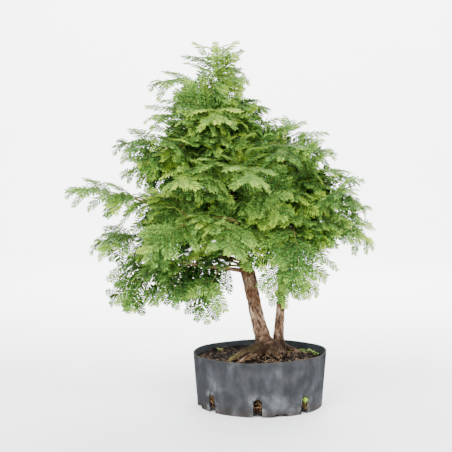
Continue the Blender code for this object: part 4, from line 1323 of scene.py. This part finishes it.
def make_rootlet():
    """A fibrous root, a unit long: a thin thread that wanders and arches up."""
    rings = []
    for i in range(8):
        along = i / 7
        middle = Vector((along - 0.5, 0.14 * math.sin(along * 8.0), 0.26 * math.sin(along * 3.6) - 0.04))
        radius = 0.017 * (1 - 0.5 * along)
        rings.append([middle + Vector((0.0, radius * math.cos(turn), radius * math.sin(turn)))
                      for turn in (0.0, math.tau / 3, 2 * math.tau / 3)])
    return put_mesh("rootlet", lofted("rootlet", with_poles(rings)))


def make_tuft():
    """A moss shoot, a unit high: three short leaves from one foot."""
    bm = bmesh.new()
    for i in range(3):
        turn = i * math.tau / 3
        out = Vector((math.cos(turn), math.sin(turn), 0.0))
        side = Vector((-out.y, out.x, 0.0)) * 0.16
        foot = bm.verts.new((0.0, 0.0, 0.0))
        left = bm.verts.new(out * 0.30 + side + Vector((0.0, 0.0, 0.45)))
        right = bm.verts.new(out * 0.30 - side + Vector((0.0, 0.0, 0.45)))
        back = bm.verts.new(out * 0.18 + Vector((0.0, 0.0, 0.50)))
        tip = bm.verts.new(out * 0.75 + Vector((0.0, 0.0, 0.95)))
        for face in ((foot, left, back), (foot, back, right), (foot, right, left),
                     (left, tip, back), (back, tip, right), (right, tip, left)):
            bm.faces.new(face)
    return put_mesh("tuft", turned_out("tuft", bm))


def leaf(bm, foot, ahead, length):
    """A seedling's leaf on its stalk: a round blade with a keel, whose end bends down."""
    side = ahead.cross(Vector((0.0, 0.0, 1.0))).normalized()
    up = side.cross(ahead)
    rings = [[foot]]
    for share, half, thick in LEAF_OUTLINE:
        middle = foot + (ahead * share - up * LEAF_BEND * share * share) * length
        rings.append([middle + side * half * length, middle + up * thick * length,
                      middle - side * half * length, middle - up * thick * length])
    rings.append([foot + (ahead - up * LEAF_BEND) * length])
    loft(bm, rings)


def make_weeds():
    """Seedlings by the wall, leaves all round, and the one leaf that has grown out through a slot."""
    rng = random.Random(WEED_SEED)
    bm = bmesh.new()
    for x, y, count, length in WEEDS:
        foot = Vector((x, y, soil_height(x, y)))
        for i in range(count):
            turn = math.tau * i / count + rng.uniform(-WEED_LEAF_TURN, WEED_LEAF_TURN)
            ahead = Vector((math.cos(turn), math.sin(turn), rng.uniform(*WEED_LEAF_RISE))).normalized()
            leaf(bm, foot, ahead, length * rng.uniform(*WEED_LEAF_SIZE))
    turn = SLOT_TURN + SLOT_LEAF * math.tau / SLOT_COUNT
    out = Vector((math.sin(turn), -math.cos(turn), 0.0))
    foot = out * SLOT_LEAF_FROM[0] + Vector((0.0, 0.0, SLOT_LEAF_FROM[1]))
    leaf(bm, foot, Vector((0.0, -1.0, SLOT_LEAF_RISE)).normalized(), SLOT_LEAF_LENGTH)
    weeds = put_mesh("seedlings", turned_out("seedlings", bm))
    coated(weeds, plain_growth("tender_seedling_leaves", "2f4812", "7b9a34", 0.5))
    return finished(weeds, "needles_mid")


def outside_radius(z):
    return POT_BASE_RADIUS + (POT_TOP_RADIUS - POT_BASE_RADIUS) * z / POT_HEIGHT


def rim_rise(x, y):
    """How far the hand-cut rim stands above its mean height at this side of the pot."""
    turn = math.atan2(y, x)
    return RIM_TILT * math.cos(turn) + RIM_WAVE * math.sin(RIM_WAVE_COUNT * turn + RIM_WAVE_TURN)


def soil_height(x, y):
    """The soil's surface: level, with a mound round the trunks and shallow lumps."""
    away = (Vector((x, y)) - MOUND_CENTRE).length
    mound = SOIL_MOUND * math.exp(-((away / MOUND_REACH) ** 2))
    across = math.sin(x * LUMP_WAVES[0] + LUMP_TURNS[0])
    deep = math.sin(y * LUMP_WAVES[1] + LUMP_TURNS[1])
    return SOIL_LEVEL + mound + SOIL_LUMP * across * deep


def turned(name, profile, sides):
    """A turned piece from (radius, height) points that run down its outer side."""
    mesh = bpy.data.meshes.new(name)
    mesh.from_pydata([(r, 0.0, z) for r, z in profile], [(i, i + 1) for i in range(len(profile) - 1)], [])
    obj = put_mesh(name, mesh)
    screw = obj.modifiers.new("Turn", "SCREW")
    screw.axis = "Z"
    screw.steps = sides
    screw.render_steps = sides
    screw.use_merge_vertices = True
    screw.merge_threshold = 0.00001
    return settled(obj)


def wall_cutter(outline, turn, collection):
    """A flat outline, (across, up), pushed through the foot of the pot's wall at this side of it."""
    curve = bpy.data.curves.new("cutter", "CURVE")
    curve.dimensions = "2D"
    curve.fill_mode = "BOTH"
    curve.extrude = CUT_DEPTH / 2
    spline = curve.splines.new("POLY")
    spline.points.add(len(outline) - 1)
    for place, (across, up) in zip(spline.points, outline):
        place.co = (across, up, 0.0, 1.0)
    spline.use_cyclic_u = True
    obj = put_mesh("cutter", curve)
    upright = Matrix.Rotation(math.radians(90), 4, "X")
    outwards = Matrix.Translation((0.0, -POT_BASE_RADIUS, 0.0))
    obj.matrix_world = Matrix.Rotation(turn, 4, "Z") @ outwards @ upright
    made = settled(obj)
    bm = bmesh.new()
    bm.from_mesh(made.data)
    bmesh.ops.remove_doubles(bm, verts=bm.verts, dist=0.000001)
    bm.to_mesh(made.data)
    bm.free()
    bpy.context.scene.collection.objects.unlink(made)
    collection.objects.link(made)


def slot_outline():
    """An upright slot with a round top, which runs out through the pot's foot."""
    half = SLOT_WIDTH / 2
    outline = [(-half, -CUT_BELOW_FOOT), (half, -CUT_BELOW_FOOT)]
    for i in range(SLOT_FINE_STEPS + 1):
        turn = math.pi * i / SLOT_FINE_STEPS
        outline.append((half * math.cos(turn), SLOT_HEIGHT - half + half * math.sin(turn)))
    return outline


def notch_outline():
    """A shallow notch in the pot's bottom edge, narrower at its top."""
    half = NOTCH_WIDTH / 2
    narrow = half - NOTCH_SLOPE
    foot = [(-half, -CUT_BELOW_FOOT), (half, -CUT_BELOW_FOOT)]
    return foot + [(narrow, NOTCH_HEIGHT), (-narrow, NOTCH_HEIGHT)]


def off_slot(x, y):
    """How far round the wall this side of the pot is from the middle of the nearest slot."""
    turn = (math.atan2(y, x) + math.pi / 2 - SLOT_TURN) % (math.tau / SLOT_COUNT)
    return min(turn, math.tau / SLOT_COUNT - turn) * POT_BASE_RADIUS


def slot_scuff(point):
    """How scuffed the wall is here, from 1 at a slot's edge to 0 a few millimetres away."""
    across = off_slot(point.x, point.y)
    above = max(0.0, point.z - SLOT_HEIGHT + SLOT_WIDTH / 2)
    away = math.hypot(across, above) - SLOT_WIDTH / 2
    return max(0.0, 1 - max(0.0, away) / SCUFF_REACH)


def make_pot():
    """The pot: the solid's own profile turned finer, its rim cut by hand, its slots and notches eased."""
    floor_top = FLOOR_UNDERSIDE + FLOOR_THICKNESS
    outside = [(outside_radius(z), z) for z in POT_WALL_HEIGHTS]
    inside = [(radius - POT_WALL, z) for radius, z in reversed(outside) if z > floor_top]
    profile = [
        (0.0, FLOOR_THICKNESS),
        (FOOT_RADIUS - FOOT_WALL, FLOOR_THICKNESS),
        (FOOT_RADIUS + FOOT_SLOPE - FOOT_WALL, floor_top),
        (outside_radius(floor_top) - POT_WALL, floor_top),
        *inside,
        *outside,
        (POT_BASE_RADIUS - POT_WALL, 0.0),
        (outside_radius(FLOOR_UNDERSIDE) - POT_WALL, FLOOR_UNDERSIDE),
        (FOOT_RADIUS + FOOT_SLOPE, FLOOR_UNDERSIDE),
        (FOOT_RADIUS, 0.0),
        (0.0, 0.0),
    ]
    pot = turned("cut_down_pot", profile, POT_FINE_SIDES)
    for vertex in pot.data.vertices:
        x, y, z = vertex.co
        high = max(0.0, 2 * z / POT_HEIGHT - 1)
        if x * x + y * y > (POT_BASE_RADIUS / 2) ** 2:
            buckle = POT_WARP * noise.noise(vertex.co * POT_WARP_WAVES)
            burr = RIM_BURR * noise.noise(vertex.co * RIM_BURR_WAVES) * (high > 0.99)
            out = Vector((x, y, 0.0)).normalized() * buckle * min(1.0, z / POT_HEIGHT * 3)
            vertex.co += out + Vector((0.0, 0.0, rim_rise(x, y) * high + burr))
    cutters = bpy.data.collections.new("pot_cutters")
    bpy.context.scene.collection.children.link(cutters)
    for i in range(SLOT_COUNT):
        wall_cutter(slot_outline(), SLOT_TURN + i * math.tau / SLOT_COUNT, cutters)
    for i in range(NOTCH_COUNT):
        wall_cutter(notch_outline(), NOTCH_TURN + i * math.tau / NOTCH_COUNT, cutters)
    cut = pot.modifiers.new("Cut", "BOOLEAN")
    cut.operation = "DIFFERENCE"
    cut.operand_type = "COLLECTION"
    cut.collection = cutters
    eased = pot.modifiers.new("Ease", "BEVEL")
    eased.width = POT_EDGE
    eased.segments = 2
    eased.limit_method = "ANGLE"
    eased.angle_limit = ROUNDED_FROM
    pot = settled(pot)
    for cutter in list(cutters.objects):
        bpy.data.objects.remove(cutter)
    bpy.data.collections.remove(cutters)
    point_values(pot, "scuff", [slot_scuff(vertex.co) for vertex in pot.data.vertices])
    pot.data.shade_smooth()
    pot.data.set_sharp_from_angle(angle=SHADED_FROM)
    pot.data.materials.clear()
    pot.data.materials.append(moulded_polypropylene())
    return finished(pot, "pot_plastic", "pot")


def slot_facing(x, y):
    """How squarely this side of the soil faces a slot: 1 at its middle, 0 from its edges on."""
    return max(0.0, 1 - off_slot(x, y) / (SLOT_SHOWS * SLOT_WIDTH))


def make_soil_bed():
    """The soil itself: the solid's form with a crumbly top, and rough sides that show in the slots."""
    floor_top = FLOOR_UNDERSIDE + FLOOR_THICKNESS
    inner = outside_radius(SOIL_LEVEL - SOIL_EDGE) - POT_WALL - SIDE_GAP
    foot = outside_radius(floor_top) - POT_WALL - SIDE_GAP
    profile = [(0.0, SOIL_LEVEL)]
    profile += [(inner * i / SOIL_FINE_RINGS, SOIL_LEVEL) for i in range(1, SOIL_FINE_RINGS)]
    for i in range(SOIL_SIDE_RINGS + 1):
        share = i / SOIL_SIDE_RINGS
        height = (SOIL_LEVEL - SOIL_EDGE) * (1 - share) + (floor_top + SEAT_GAP) * share
        profile.append((inner + (foot - inner) * share, height))
    profile.append((0.0, floor_top + SEAT_GAP))
    soil = turned("compost_bed", profile, SOIL_SEGMENTS)
    loose = [0.0] * len(soil.data.vertices)
    for i, vertex in enumerate(soil.data.vertices):
        x, y, z = vertex.co
        if z > SOIL_LEVEL - SOIL_EDGE / 2:
            rough = noise.fractal(Vector((x * TOP_ROUGHNESS, y * TOP_ROUGHNESS, 5.0)), 0.8, 2.2, 4)
            vertex.co.z = soil_height(x, y) + SOIL_CRUMBLE * rough
            loose[i] = 1.0
        elif z > floor_top + 2 * SEAT_GAP:
            rough = abs(noise.noise(vertex.co * SIDE_ROUGHNESS))
            vertex.co -= Vector((x, y, 0.0)).normalized() * SOIL_CRUMBLE * rough
            loose[i] = slot_facing(x, y) * (z < SLOT_HEIGHT)
    point_values(soil, "loose", loose)
    return coated(soil, damp_compost("damp_bark_compost", "030201", "090502", "130b05"))


def strew(name, ground, piece, tree, finish, slot):
    """Strews a small piece over a surface."""
    density, smallest, largest, flat, sink, seed = STREWN[name]
    strewn = put_mesh(name, ground.data.copy())
    made = run_tree(strewn, tree, piece=piece, density=density, smallest=smallest, largest=largest,
                    lie_flat=flat, sink=sink, seed=seed, finish=finish)
    return finished(made, slot)


def make_soil(tree):
    """The soil with its crumbs, splinters of bark and fibrous roots."""
    soil = make_soil_bed()
    dry = damp_compost("dry_compost_crumbs", "030100", "0b0502", "1c1006")
    fibre = plain_growth("fibrous_roots", "2c1c10", "a2876a", 0.8)
    crumb = make_crumb()
    chip = make_chip()
    rootlet = make_rootlet()
    strew("compost_crumbs", soil, crumb, tree, dry, "potting_soil")
    strew("bark_splinters", soil, chip, tree, dry, "potting_soil")
    # Long rootlets keep off the wall, and pale ones grow only in the slots
    roomy = put_mesh("roomy_ground", soil.data.copy())
    packed = put_mesh("ground_in_slots", soil.data.copy())
    for i, vertex in enumerate(soil.data.vertices):
        if vertex.co.z > SLOT_HEIGHT:
            packed.data.attributes["loose"].data[i].value = 0.0
            if vertex.co.xy.length > POT_TOP_RADIUS - ROOTLETS_OFF_WALL:
                roomy.data.attributes["loose"].data[i].value = 0.0
    strew("fibrous_rootlets", roomy, rootlet, tree, fibre, "potting_soil")
    pale = plain_growth("pale_slot_roots", "6a4422", "c8a272", 0.8)
    strew("slot_rootlets", packed, rootlet, tree, pale, "potting_soil")
    for shape in (crumb, chip, rootlet, roomy, packed):
        bpy.data.objects.remove(shape)
    return finished(soil, "potting_soil", "soil")


def walk(points, radii, step):
    """Points a step apart on a smooth line through these points: (point, direction, radius, distance)."""
    knots = [points[0] * 2 - points[1]] + list(points) + [points[-1] * 2 - points[-2]]
    dense = []
    for i in range(len(points) - 1):
        a, b, c, d = knots[i:i + 4]
        pieces = max(2, int((c - b).length / step) + 1)
        for k in range(pieces):
            t = k / pieces
            bend = b * 2 + (c - a) * t + (a * 2 - b * 5 + c * 4 - d) * t * t
            point = (bend + (b * 3 - a - c * 3 + d) * t ** 3) / 2
            dense.append((point, radii[i] + (radii[i + 1] - radii[i]) * t))
    dense.append((points[-1].copy(), radii[-1]))
    found = []
    gone = 0.0
    for i, (point, radius) in enumerate(dense):
        ahead = (dense[min(i + 1, len(dense) - 1)][0] - dense[max(i - 1, 0)][0]).normalized()
        if i:
            gone += (point - dense[i - 1][0]).length
        found.append((point, ahead, radius, gone))
    return found


def limb(bm, path, sides, youth, collar=0.0):
    """A limb as rings round its path, thickened to a collar where it leaves its parent, and closed."""
    youth_layer = bm.verts.layers.float["youth"]
    side = square_to(path[0][1], Vector((0.31, 0.95, 0.07)))
    rings = []
    length = path[-1][3]
    for point, ahead, radius, gone in path:
        side = square_to(ahead, side)
        over = ahead.cross(side)
        swell = 1.0 + collar * math.exp(-((gone / COLLAR_LENGTH) ** 2))
        ring = []
        for i in range(sides):
            turn = math.tau * i / sides
            knob = 1.0 + LIMB_KNOB * noise.noise(point * LIMB_KNOB_WAVES + Vector((turn, 0.0, 0.0)))
            size = radius * swell * knob
            vertex = bm.verts.new(point + side * size * math.cos(turn) + over * size * math.sin(turn))
            vertex[youth_layer] = youth[0] + (youth[1] - youth[0]) * gone / length
            ring.append(vertex)
        rings.append(ring)
    for low, high in zip(rings, rings[1:]):
        for i in range(sides):
            k = (i + 1) % sides
            bm.faces.new((low[i], low[k], high[k], high[i]))
    bm.faces.new(list(reversed(rings[0])))
    bm.faces.new(rings[-1])


def limbs(name, rows):
    """One mesh of many limbs: (points, radii, sides, step, youth at its two ends, collar)."""
    bm = bmesh.new()
    bm.verts.layers.float.new("youth")
    for points, radii, sides, step, youth, collar in rows:
        limb(bm, walk(points, radii, step), sides, youth, collar)
    return put_mesh(name, drawn(name, bm))


def axis_samples():
    """Points down the middle of the trunks and surface roots: (point, direction, radius, distance)."""
    found = []
    for rows in (OLD_TRUNK, YOUNG_TRUNK) + ROOTS:
        found += walk(*line_of(rows), AXIS_STEP)
    return found


def bark_height(point, sample):
    """Bark relief from -1 to 1 at a point on the wood: strips that run along it, torn across."""
    middle, ahead, radius, gone = sample
    off = point - middle
    off -= ahead * off.dot(ahead)
    run = gone / (BARK_STRIP * BARK_STRETCH)
    place = off / BARK_STRIP + Vector((run, run * 0.6, run * 0.8)) * 0.7
    strips = 1 - 2 * abs(noise.noise(place))
    fine = noise.noise(place * 3.1)
    away, where = noise.voronoi(place * 0.55)
    plate = noise.cell(where[0] * 7.3)
    edge = min(1.0, (away[1] - away[0]) * 3)
    relief = STRIP_SHARE * strips + FINE_STRIP_SHARE * fine
    return relief + PLATE_SHARE * plate * edge - CRACK_SHARE * (1 - edge)


def mossiness(point, normal):
    """How thickly moss grows here, from 0 to 1: along the upper side of one surface root."""
    run = MOSS_END - MOSS_START
    share = min(max((point - MOSS_START).dot(run) / run.length_squared, 0.0), 1.0)
    away = (point - MOSS_START - run * share).length
    return max(0.0, 1 - away / MOSS_REACH) * max(0.0, min(1.0, normal.z + 0.3))


def make_trunks(bark):
    """Both trunks and the surface roots, grown together at the foot, with relief in their bark."""
    rows = []
    for lines, sides in ((TRUNKS.values(), TRUNK_SIDES), (ROOTS, ROOT_SIDES)):
        rows += [(*line_of(line), sides, LIMB_STEP, (0.0, 0.0), 0.0) for line in lines]
    wood = limbs("trunks_and_roots", rows)
    joined = wood.modifiers.new("Grow together", "REMESH")
    joined.mode = "VOXEL"
    joined.voxel_size = TRUNK_VOXEL
    eased = wood.modifiers.new("Ease", "SMOOTH")
    eased.factor = 0.5
    eased.iterations = TRUNK_SMOOTHING
    wood = settled(wood)
    samples = axis_samples()
    tree = tree_of([sample[0] for sample in samples])
    relief = []
    moss = []
    normals = [vertex.normal.copy() for vertex in wood.data.vertices]
    for vertex, normal in zip(wood.data.vertices, normals):
        sample = samples[tree.find(vertex.co)[1]]
        height = bark_height(vertex.co, sample)
        vertex.co += normal * height * BARK_RELIEF * min(1.0, sample[2] / BARK_FULL_RADIUS)
        relief.append(0.5 + 0.4 * height)
        moss.append(mossiness(vertex.co, normal))
    point_values(wood, "relief", relief)
    point_values(wood, "youth", [0.0] * len(normals))
    point_values(wood, "loose", moss)
    return finished(coated(wood, bark), "bark", "wood")


def make_boughs(crown, twiglets, bark):
    """Every bough and twig, from its collar on the trunk to where its fronds begin."""
    rows = []
    for points, radii in crown.twigs:
        rows.append((points, radii, LIMB_SIDES, LIMB_STEP, TWIG_YOUTH, COLLAR_SWELL))
    for points, radii in twiglets:
        rows.append((points, radii, TWIGLET_LIMB_SIDES, LIMB_STEP, TWIGLET_YOUTH, COLLAR_SWELL / 2))
    boughs = limbs("boughs_and_twigs", rows)
    relief = []
    for vertex in boughs.data.vertices:
        paler = BARE_BOUGH_PALER if in_window(vertex.co, *BARE_BOUGH_WINDOW) else 0.0
        relief.append(0.5 + 0.5 * noise.noise(vertex.co * TWIG_BARK_WAVES) + paler)
    point_values(boughs, "relief", relief)
    point_values(boughs, "loose", [0.0] * len(relief))
    return finished(coated(boughs, bark), "bark", "wood")


def tint_of(point, rng):
    """How pale a frond is, from 0 to 1: painted shade, darker deep inside the crown and paler outside, with
    new growth strewn in.
    """
    middle, half = crown_middle(min(max(point.z, CROWN[0][0] + 0.001), CROWN[-1][0]))
    out = math.hypot((point.x - middle) / max(half, 0.02), point.y / max(half * CROWN_DEPTH, 0.02))
    pale = INSIDE_SHADE_TINT + OUT_OF_SHADE_GAIN * min(out, 1.1) + rng.gauss(0.0, TINT_SPREAD)
    if rng.random() < NEW_GROWTH:
        pale += NEW_GROWTH_TINT
    if point.z < SHADED_BELOW and point.x < SHADED_LEFT_OF:
        pale -= SHADED_TINT
    return min(max(pale, 0.0), 1.0)


def shows_bough(frond):
    """Whether a frond leaves the bare bough in sight."""
    checked = [frond.frame(frond.length * share)[0] for share in (0.4, 0.7, 1.0)]
    return not any(in_window(point, *SEEN_BOUGH_WINDOW) for point in checked)


def paired_fronds(path, first, spacing, size, rng):
    """Fronds in opposite pairs along a bough or twig, each with a droop and a turn of its own."""
    found = []
    step = first
    for point, ahead, radius, gone in path:
        if gone < step or gone > path[-1][3] - PAIR_OFF_END:
            continue
        step = gone + spacing * rng.uniform(*PAIR_SPACING_RANGE)
        roll = rng.uniform(-PAIR_ROLL, PAIR_ROLL)
        up = upright_to(ahead, point.y, roll)
        for hand in (-1, 1):
            angle = math.radians(PAIR_ANGLE * rng.uniform(*PAIR_ANGLE_RANGE))
            away = Matrix.Rotation(hand * angle, 3, up) @ ahead
            lift = Matrix.Rotation(math.radians(rng.uniform(*PAIR_LIFT)), 3, away.cross(up))
            length = rng.uniform(*PAIR_LENGTH) * size
            droop = math.radians(rng.uniform(*PAIR_DROOP))
            frond = Frond(point, lift @ away, lift @ up, length, INNER_FROND_RADIUS, (), droop)
            if rng.random() > PAIR_MISSING:
                found.append(frond)
    return found


def hanging_fronds(path, rng):
    """Fronds that hang side by side under the bare bough, short by the trunk and long towards its end."""
    found = []
    bare = path[-1][3] * BARE_BOUGH_SHARE
    step = path[-1][3] * HANGING_FROM
    shortest, longest = HANGING_LENGTH
    for point, ahead, radius, gone in path:
        if step <= gone <= bare:
            step = gone + HANGING_SPACING * rng.uniform(*HANGING_SPACING_RANGE)
            away = Vector((rng.uniform(*HANGING_ACROSS), rng.uniform(*HANGING_DEEP), -1.0)).normalized()
            face = square_to(away, Vector((rng.uniform(-HANGING_TURN, HANGING_TURN), -1.0, 0.2)))
            length = (shortest + (longest - shortest) * gone / bare) * rng.uniform(*HANGING_LENGTH_RANGE)
            found.append(Frond(point, away, face, length, INNER_FROND_RADIUS, (), HANGING_DROOP))
    return found


def sparse(fronds, rng):
    """These fronds without a share of those that hang lowest."""
    kept = []
    for frond in fronds:
        tip = frond.tip()
        shares = [share for left, right, below, share in SPARSE_ZONES
                  if left < tip.x < right and tip.z < below]
        if rng.random() < min(shares, default=1.0):
            kept.append(frond)
    return kept


def lone_frond(start, tip):
    """One frond between two points, which leaves a little high and arches down to its tip."""
    way = Vector(tip) - Vector(start)
    ahead = (way.normalized() + Vector((0.0, 0.0, LONE_DROOP / 2))).normalized()
    face = square_to(ahead, Vector((0.0, -0.65, 1.0)))
    return Frond(Vector(start), ahead, face, way.length, INNER_FROND_RADIUS, (), LONE_DROOP)


def twiglet_on(path, place, hand, rng):
    """A short twig to one side of a bough, with fronds of its own: (points, radii), fronds."""
    point, ahead, radius, gone = path[place]
    up = upright_to(ahead, point.y, rng.uniform(-PAIR_ROLL, PAIR_ROLL))
    away = Matrix.Rotation(hand * math.radians(rng.uniform(*TWIGLET_ANGLE)), 3, up) @ ahead
    away = (away + up * rng.uniform(-TWIGLET_LEAN, TWIGLET_LEAN)).normalized()
    return twiglet(point, away, up, rng)


def trunk_twiglet(trunk, height, way, rng):
    """A short shoot straight from the trunk's bark, with fronds of its own."""
    point, radius = on_trunk(trunk, height)
    away = Vector(way).normalized()
    up = upright_to(away, point.y, rng.uniform(-PAIR_ROLL, PAIR_ROLL))
    return twiglet(point + away * radius * SHOOT_ROOT, away, up, rng)


def twiglet(point, away, up, rng):
    """A short twig from here and what grows on it: (points, radii), fronds."""
    length = rng.uniform(*TWIGLET_LENGTH)
    end = point + away * length
    middle = point.lerp(end, 0.5) + up * length * TWIGLET_ARCH
    thin = TWIG_END_RADIUS * TWIGLET_THINNESS
    wood = ([point, middle, end], [thin * thicker for thicker in TWIGLET_TAPER])
    tip_ahead = (end - middle).normalized()
    main = Frond(end, tip_ahead, square_to(tip_ahead, up), rng.uniform(*TWIGLET_FROND), thin, ())
    fronds = [main] + side_fronds(main, TWIGLET_SIDES, rng.uniform(*TWIGLET_SIZE))
    first = length * TWIGLET_PAIRS_FROM
    fronds += paired_fronds(walk(*wood, PATH_STEP), first, PAIR_SPACING, TWIGLET_PAIR_SIZE, rng)
    return wood, fronds


def rib_lines(name, fronds, rng):
    """The ribs of these fronds as lines of points, each with what its needles need to know."""
    places = []
    edges = []
    rows = {"ahead": [], "up": [], "along": [], "vigour": [], "thick": [], "tint": []}
    for frond in fronds:
        tint = tint_of(frond.tip(), rng)
        vigour = frond.vigour * rng.uniform(*VIGOUR_RANGE)
        for i in range(RIB_POINTS):
            share = i / (RIB_POINTS - 1)
            point, ahead, up = frond.frame(frond.length * share)
            if i:
                edges.append((len(places) - 1, len(places)))
            places.append(point)
            thick = frond.thickness(frond.length * share) * RIB_SLIMNESS
            paler = min(1.0, tint + TIP_TINT * share ** 3)
            for key, value in zip(rows, (ahead, up, share, vigour, thick, paler)):
                rows[key].append(value)
    mesh = bpy.data.meshes.new(name)
    mesh.from_pydata(places, edges, [])
    ribs = put_mesh(name, mesh)
    for key, values in rows.items():
        if key in ("ahead", "up"):
            layer = mesh.attributes.new(key, "FLOAT_VECTOR", "POINT")
            layer.data.foreach_set("vector", [number for value in values for number in value])
        else:
            point_values(ribs, key, values)
    return ribs


def leafy_piece(tree, needle, name, fronds, look, rng, *nodes):
    """One piece of fronds in full needle, in a look of (slot, material)."""
    made = run_tree(rib_lines(name, fronds, rng), tree, needle=needle, finish=look[1])
    made.data.shade_smooth()
    return finished(made, look[0], *nodes)


def make_foliage(crown):
    """The sprays of the solids in full needle, and the fronds and twiglets along their boughs."""
    needle = make_needle()
    leafy = partial(leafy_piece, needle_tree(), needle)
    looks = (
        ("needles_mid", soft_needles("soft_needles", MID_GREENS, 0.13)),
        ("needles_light", soft_needles("soft_light_needles", LIGHT_GREENS, 0.15)),
        ("needles_deep", soft_needles("soft_deep_needles", DEEP_GREENS, 0.11)),
    )
    twiglets = []
    for number, (spray, wood) in enumerate(zip(crown.sprays, crown.twigs), 1):
        rng = random.Random(FINE_SEED + number - 1)
        fewer = random.Random(FINE_SEED + number)
        look = looks[number % len(looks)]
        size = spray[0].length / MAIN_RIB
        fronds = spray + sparse(side_fronds(spray[0], EXTRA_SIDE_FRONDS, size), fewer)
        leafy(f"fine_spray_{number:02d}", fronds, look, rng, f"spray_{number:02d}")
        path = walk(*wood, PATH_STEP)
        length = path[-1][3]
        bare = BARE_BOUGH_SHARE if number == BARE_BOUGH else BARE_SHARE
        inner = paired_fronds(path, length * bare + PAIR_OFF_END, PAIR_SPACING, 1.0, rng)
        inner = [frond for frond in inner if shows_bough(frond)]
        for k in range(min(MOST_TWIGLETS, int(length / TWIGLET_SPACING))):
            place = int(rng.uniform(bare, LAST_TWIGLET) * (len(path) - 1))
            twig, own = twiglet_on(path, place, rng.choice((-1, 1)), rng)
            if all(in_crown(frond.tip()) and shows_bough(frond) for frond in own):
                twiglets.append(twig)
                inner += own
        inner = sparse(inner, fewer)
        if number == BARE_BOUGH:
            inner += hanging_fronds(path, random.Random(FINE_SEED))
        if inner:
            leafy(f"bough_fronds_{number:02d}", inner, look, rng)
    for name, trunk in TRUNKS.items():
        rng = random.Random(FINE_SEED + len(name))
        fronds = []
        for k in range(TRUNK_TWIGLETS[name]):
            height = rng.uniform(*TRUNK_TWIGLET_HEIGHTS[name])
            turn = rng.uniform(0.0, math.tau)
            way = (math.cos(turn), math.sin(turn), rng.uniform(*TRUNK_TWIGLET_RISE))
            twig, own = trunk_twiglet(trunk, height, way, rng)
            if all(in_crown(frond.tip()) and shows_bough(frond) for frond in own):
                twiglets.append(twig)
                fronds += own
        for height, way in PLACED_SHOOTS[name]:
            twig, own = trunk_twiglet(trunk, height, way, rng)
            twiglets.append(twig)
            fronds += [frond for frond in own if shows_bough(frond)]
        leafy(f"{name}_trunk_fronds", fronds, looks[0], rng)
    leafy("lone_fronds", [lone_frond(*row) for row in LONE_FRONDS], looks[1], random.Random(FINE_SEED))
    bpy.data.objects.remove(needle)
    return twiglets


def make_studio():
    """A pale floor that sweeps up into a wall all round, soft light from above, and the camera."""
    profile = [(SWEEP_RADIUS + SWEEP_BEND, SWEEP_TOP)]
    for i in range(SWEEP_STEPS + 1):
        turn = math.pi / 2 * i / SWEEP_STEPS
        profile.append((SWEEP_RADIUS + SWEEP_BEND * math.cos(turn), SWEEP_BEND * (1 - math.sin(turn))))
    profile.append((0.0, 0.0))
    paint = plain_paint("pale_floor_paint", FLOOR_COLOUR, 0.6)
    floor = coated(turned("floor", profile, SWEEP_SIDES), paint)
    for name, place, aim, energy, size in LAMPS:
        light = bpy.data.lights.new(name, "AREA")
        light.energy = energy
        light.size = size
        lamp = bpy.data.objects.new(name, light)
        lamp.location = place
        lamp.rotation_euler = (aim - Vector(place)).to_track_quat("-Z", "Y").to_euler()
        lamp.visible_camera = False
        bpy.context.scene.collection.objects.link(lamp)
    world = bpy.data.worlds.new("soft_white_room")
    world.use_nodes = True
    sky = world.node_tree.nodes["Background"]
    sky.inputs["Color"].default_value = linear(SKY_COLOUR)
    sky.inputs["Strength"].default_value = SKY_STRENGTH
    bpy.context.scene.world = world
    data = bpy.data.cameras.new("camera")
    data.lens = CAMERA_LENS
    camera = bpy.data.objects.new("camera", data)
    camera.location = CAMERA_PLACE
    camera.rotation_euler = (math.radians(90) - CAMERA_PITCH, 0.0, 0.0)
    bpy.context.scene.collection.objects.link(camera)
    bpy.context.scene.camera = camera


def main():
    make_studio()
    crown = grow()
    make_pot()
    strewing = scatter_tree()
    make_soil(strewing)
    bark = redwood_bark()
    trunks = make_trunks(bark)
    tuft = make_tuft()
    moss = plain_growth("feathery_root_moss", "2e3612", "7c7f32", 0.8)
    strew("root_moss", trunks, tuft, strewing, moss, "bark")
    bpy.data.objects.remove(tuft)
    make_weeds()
    twiglets = make_foliage(crown)
    make_boughs(crown, twiglets, bark)


main()
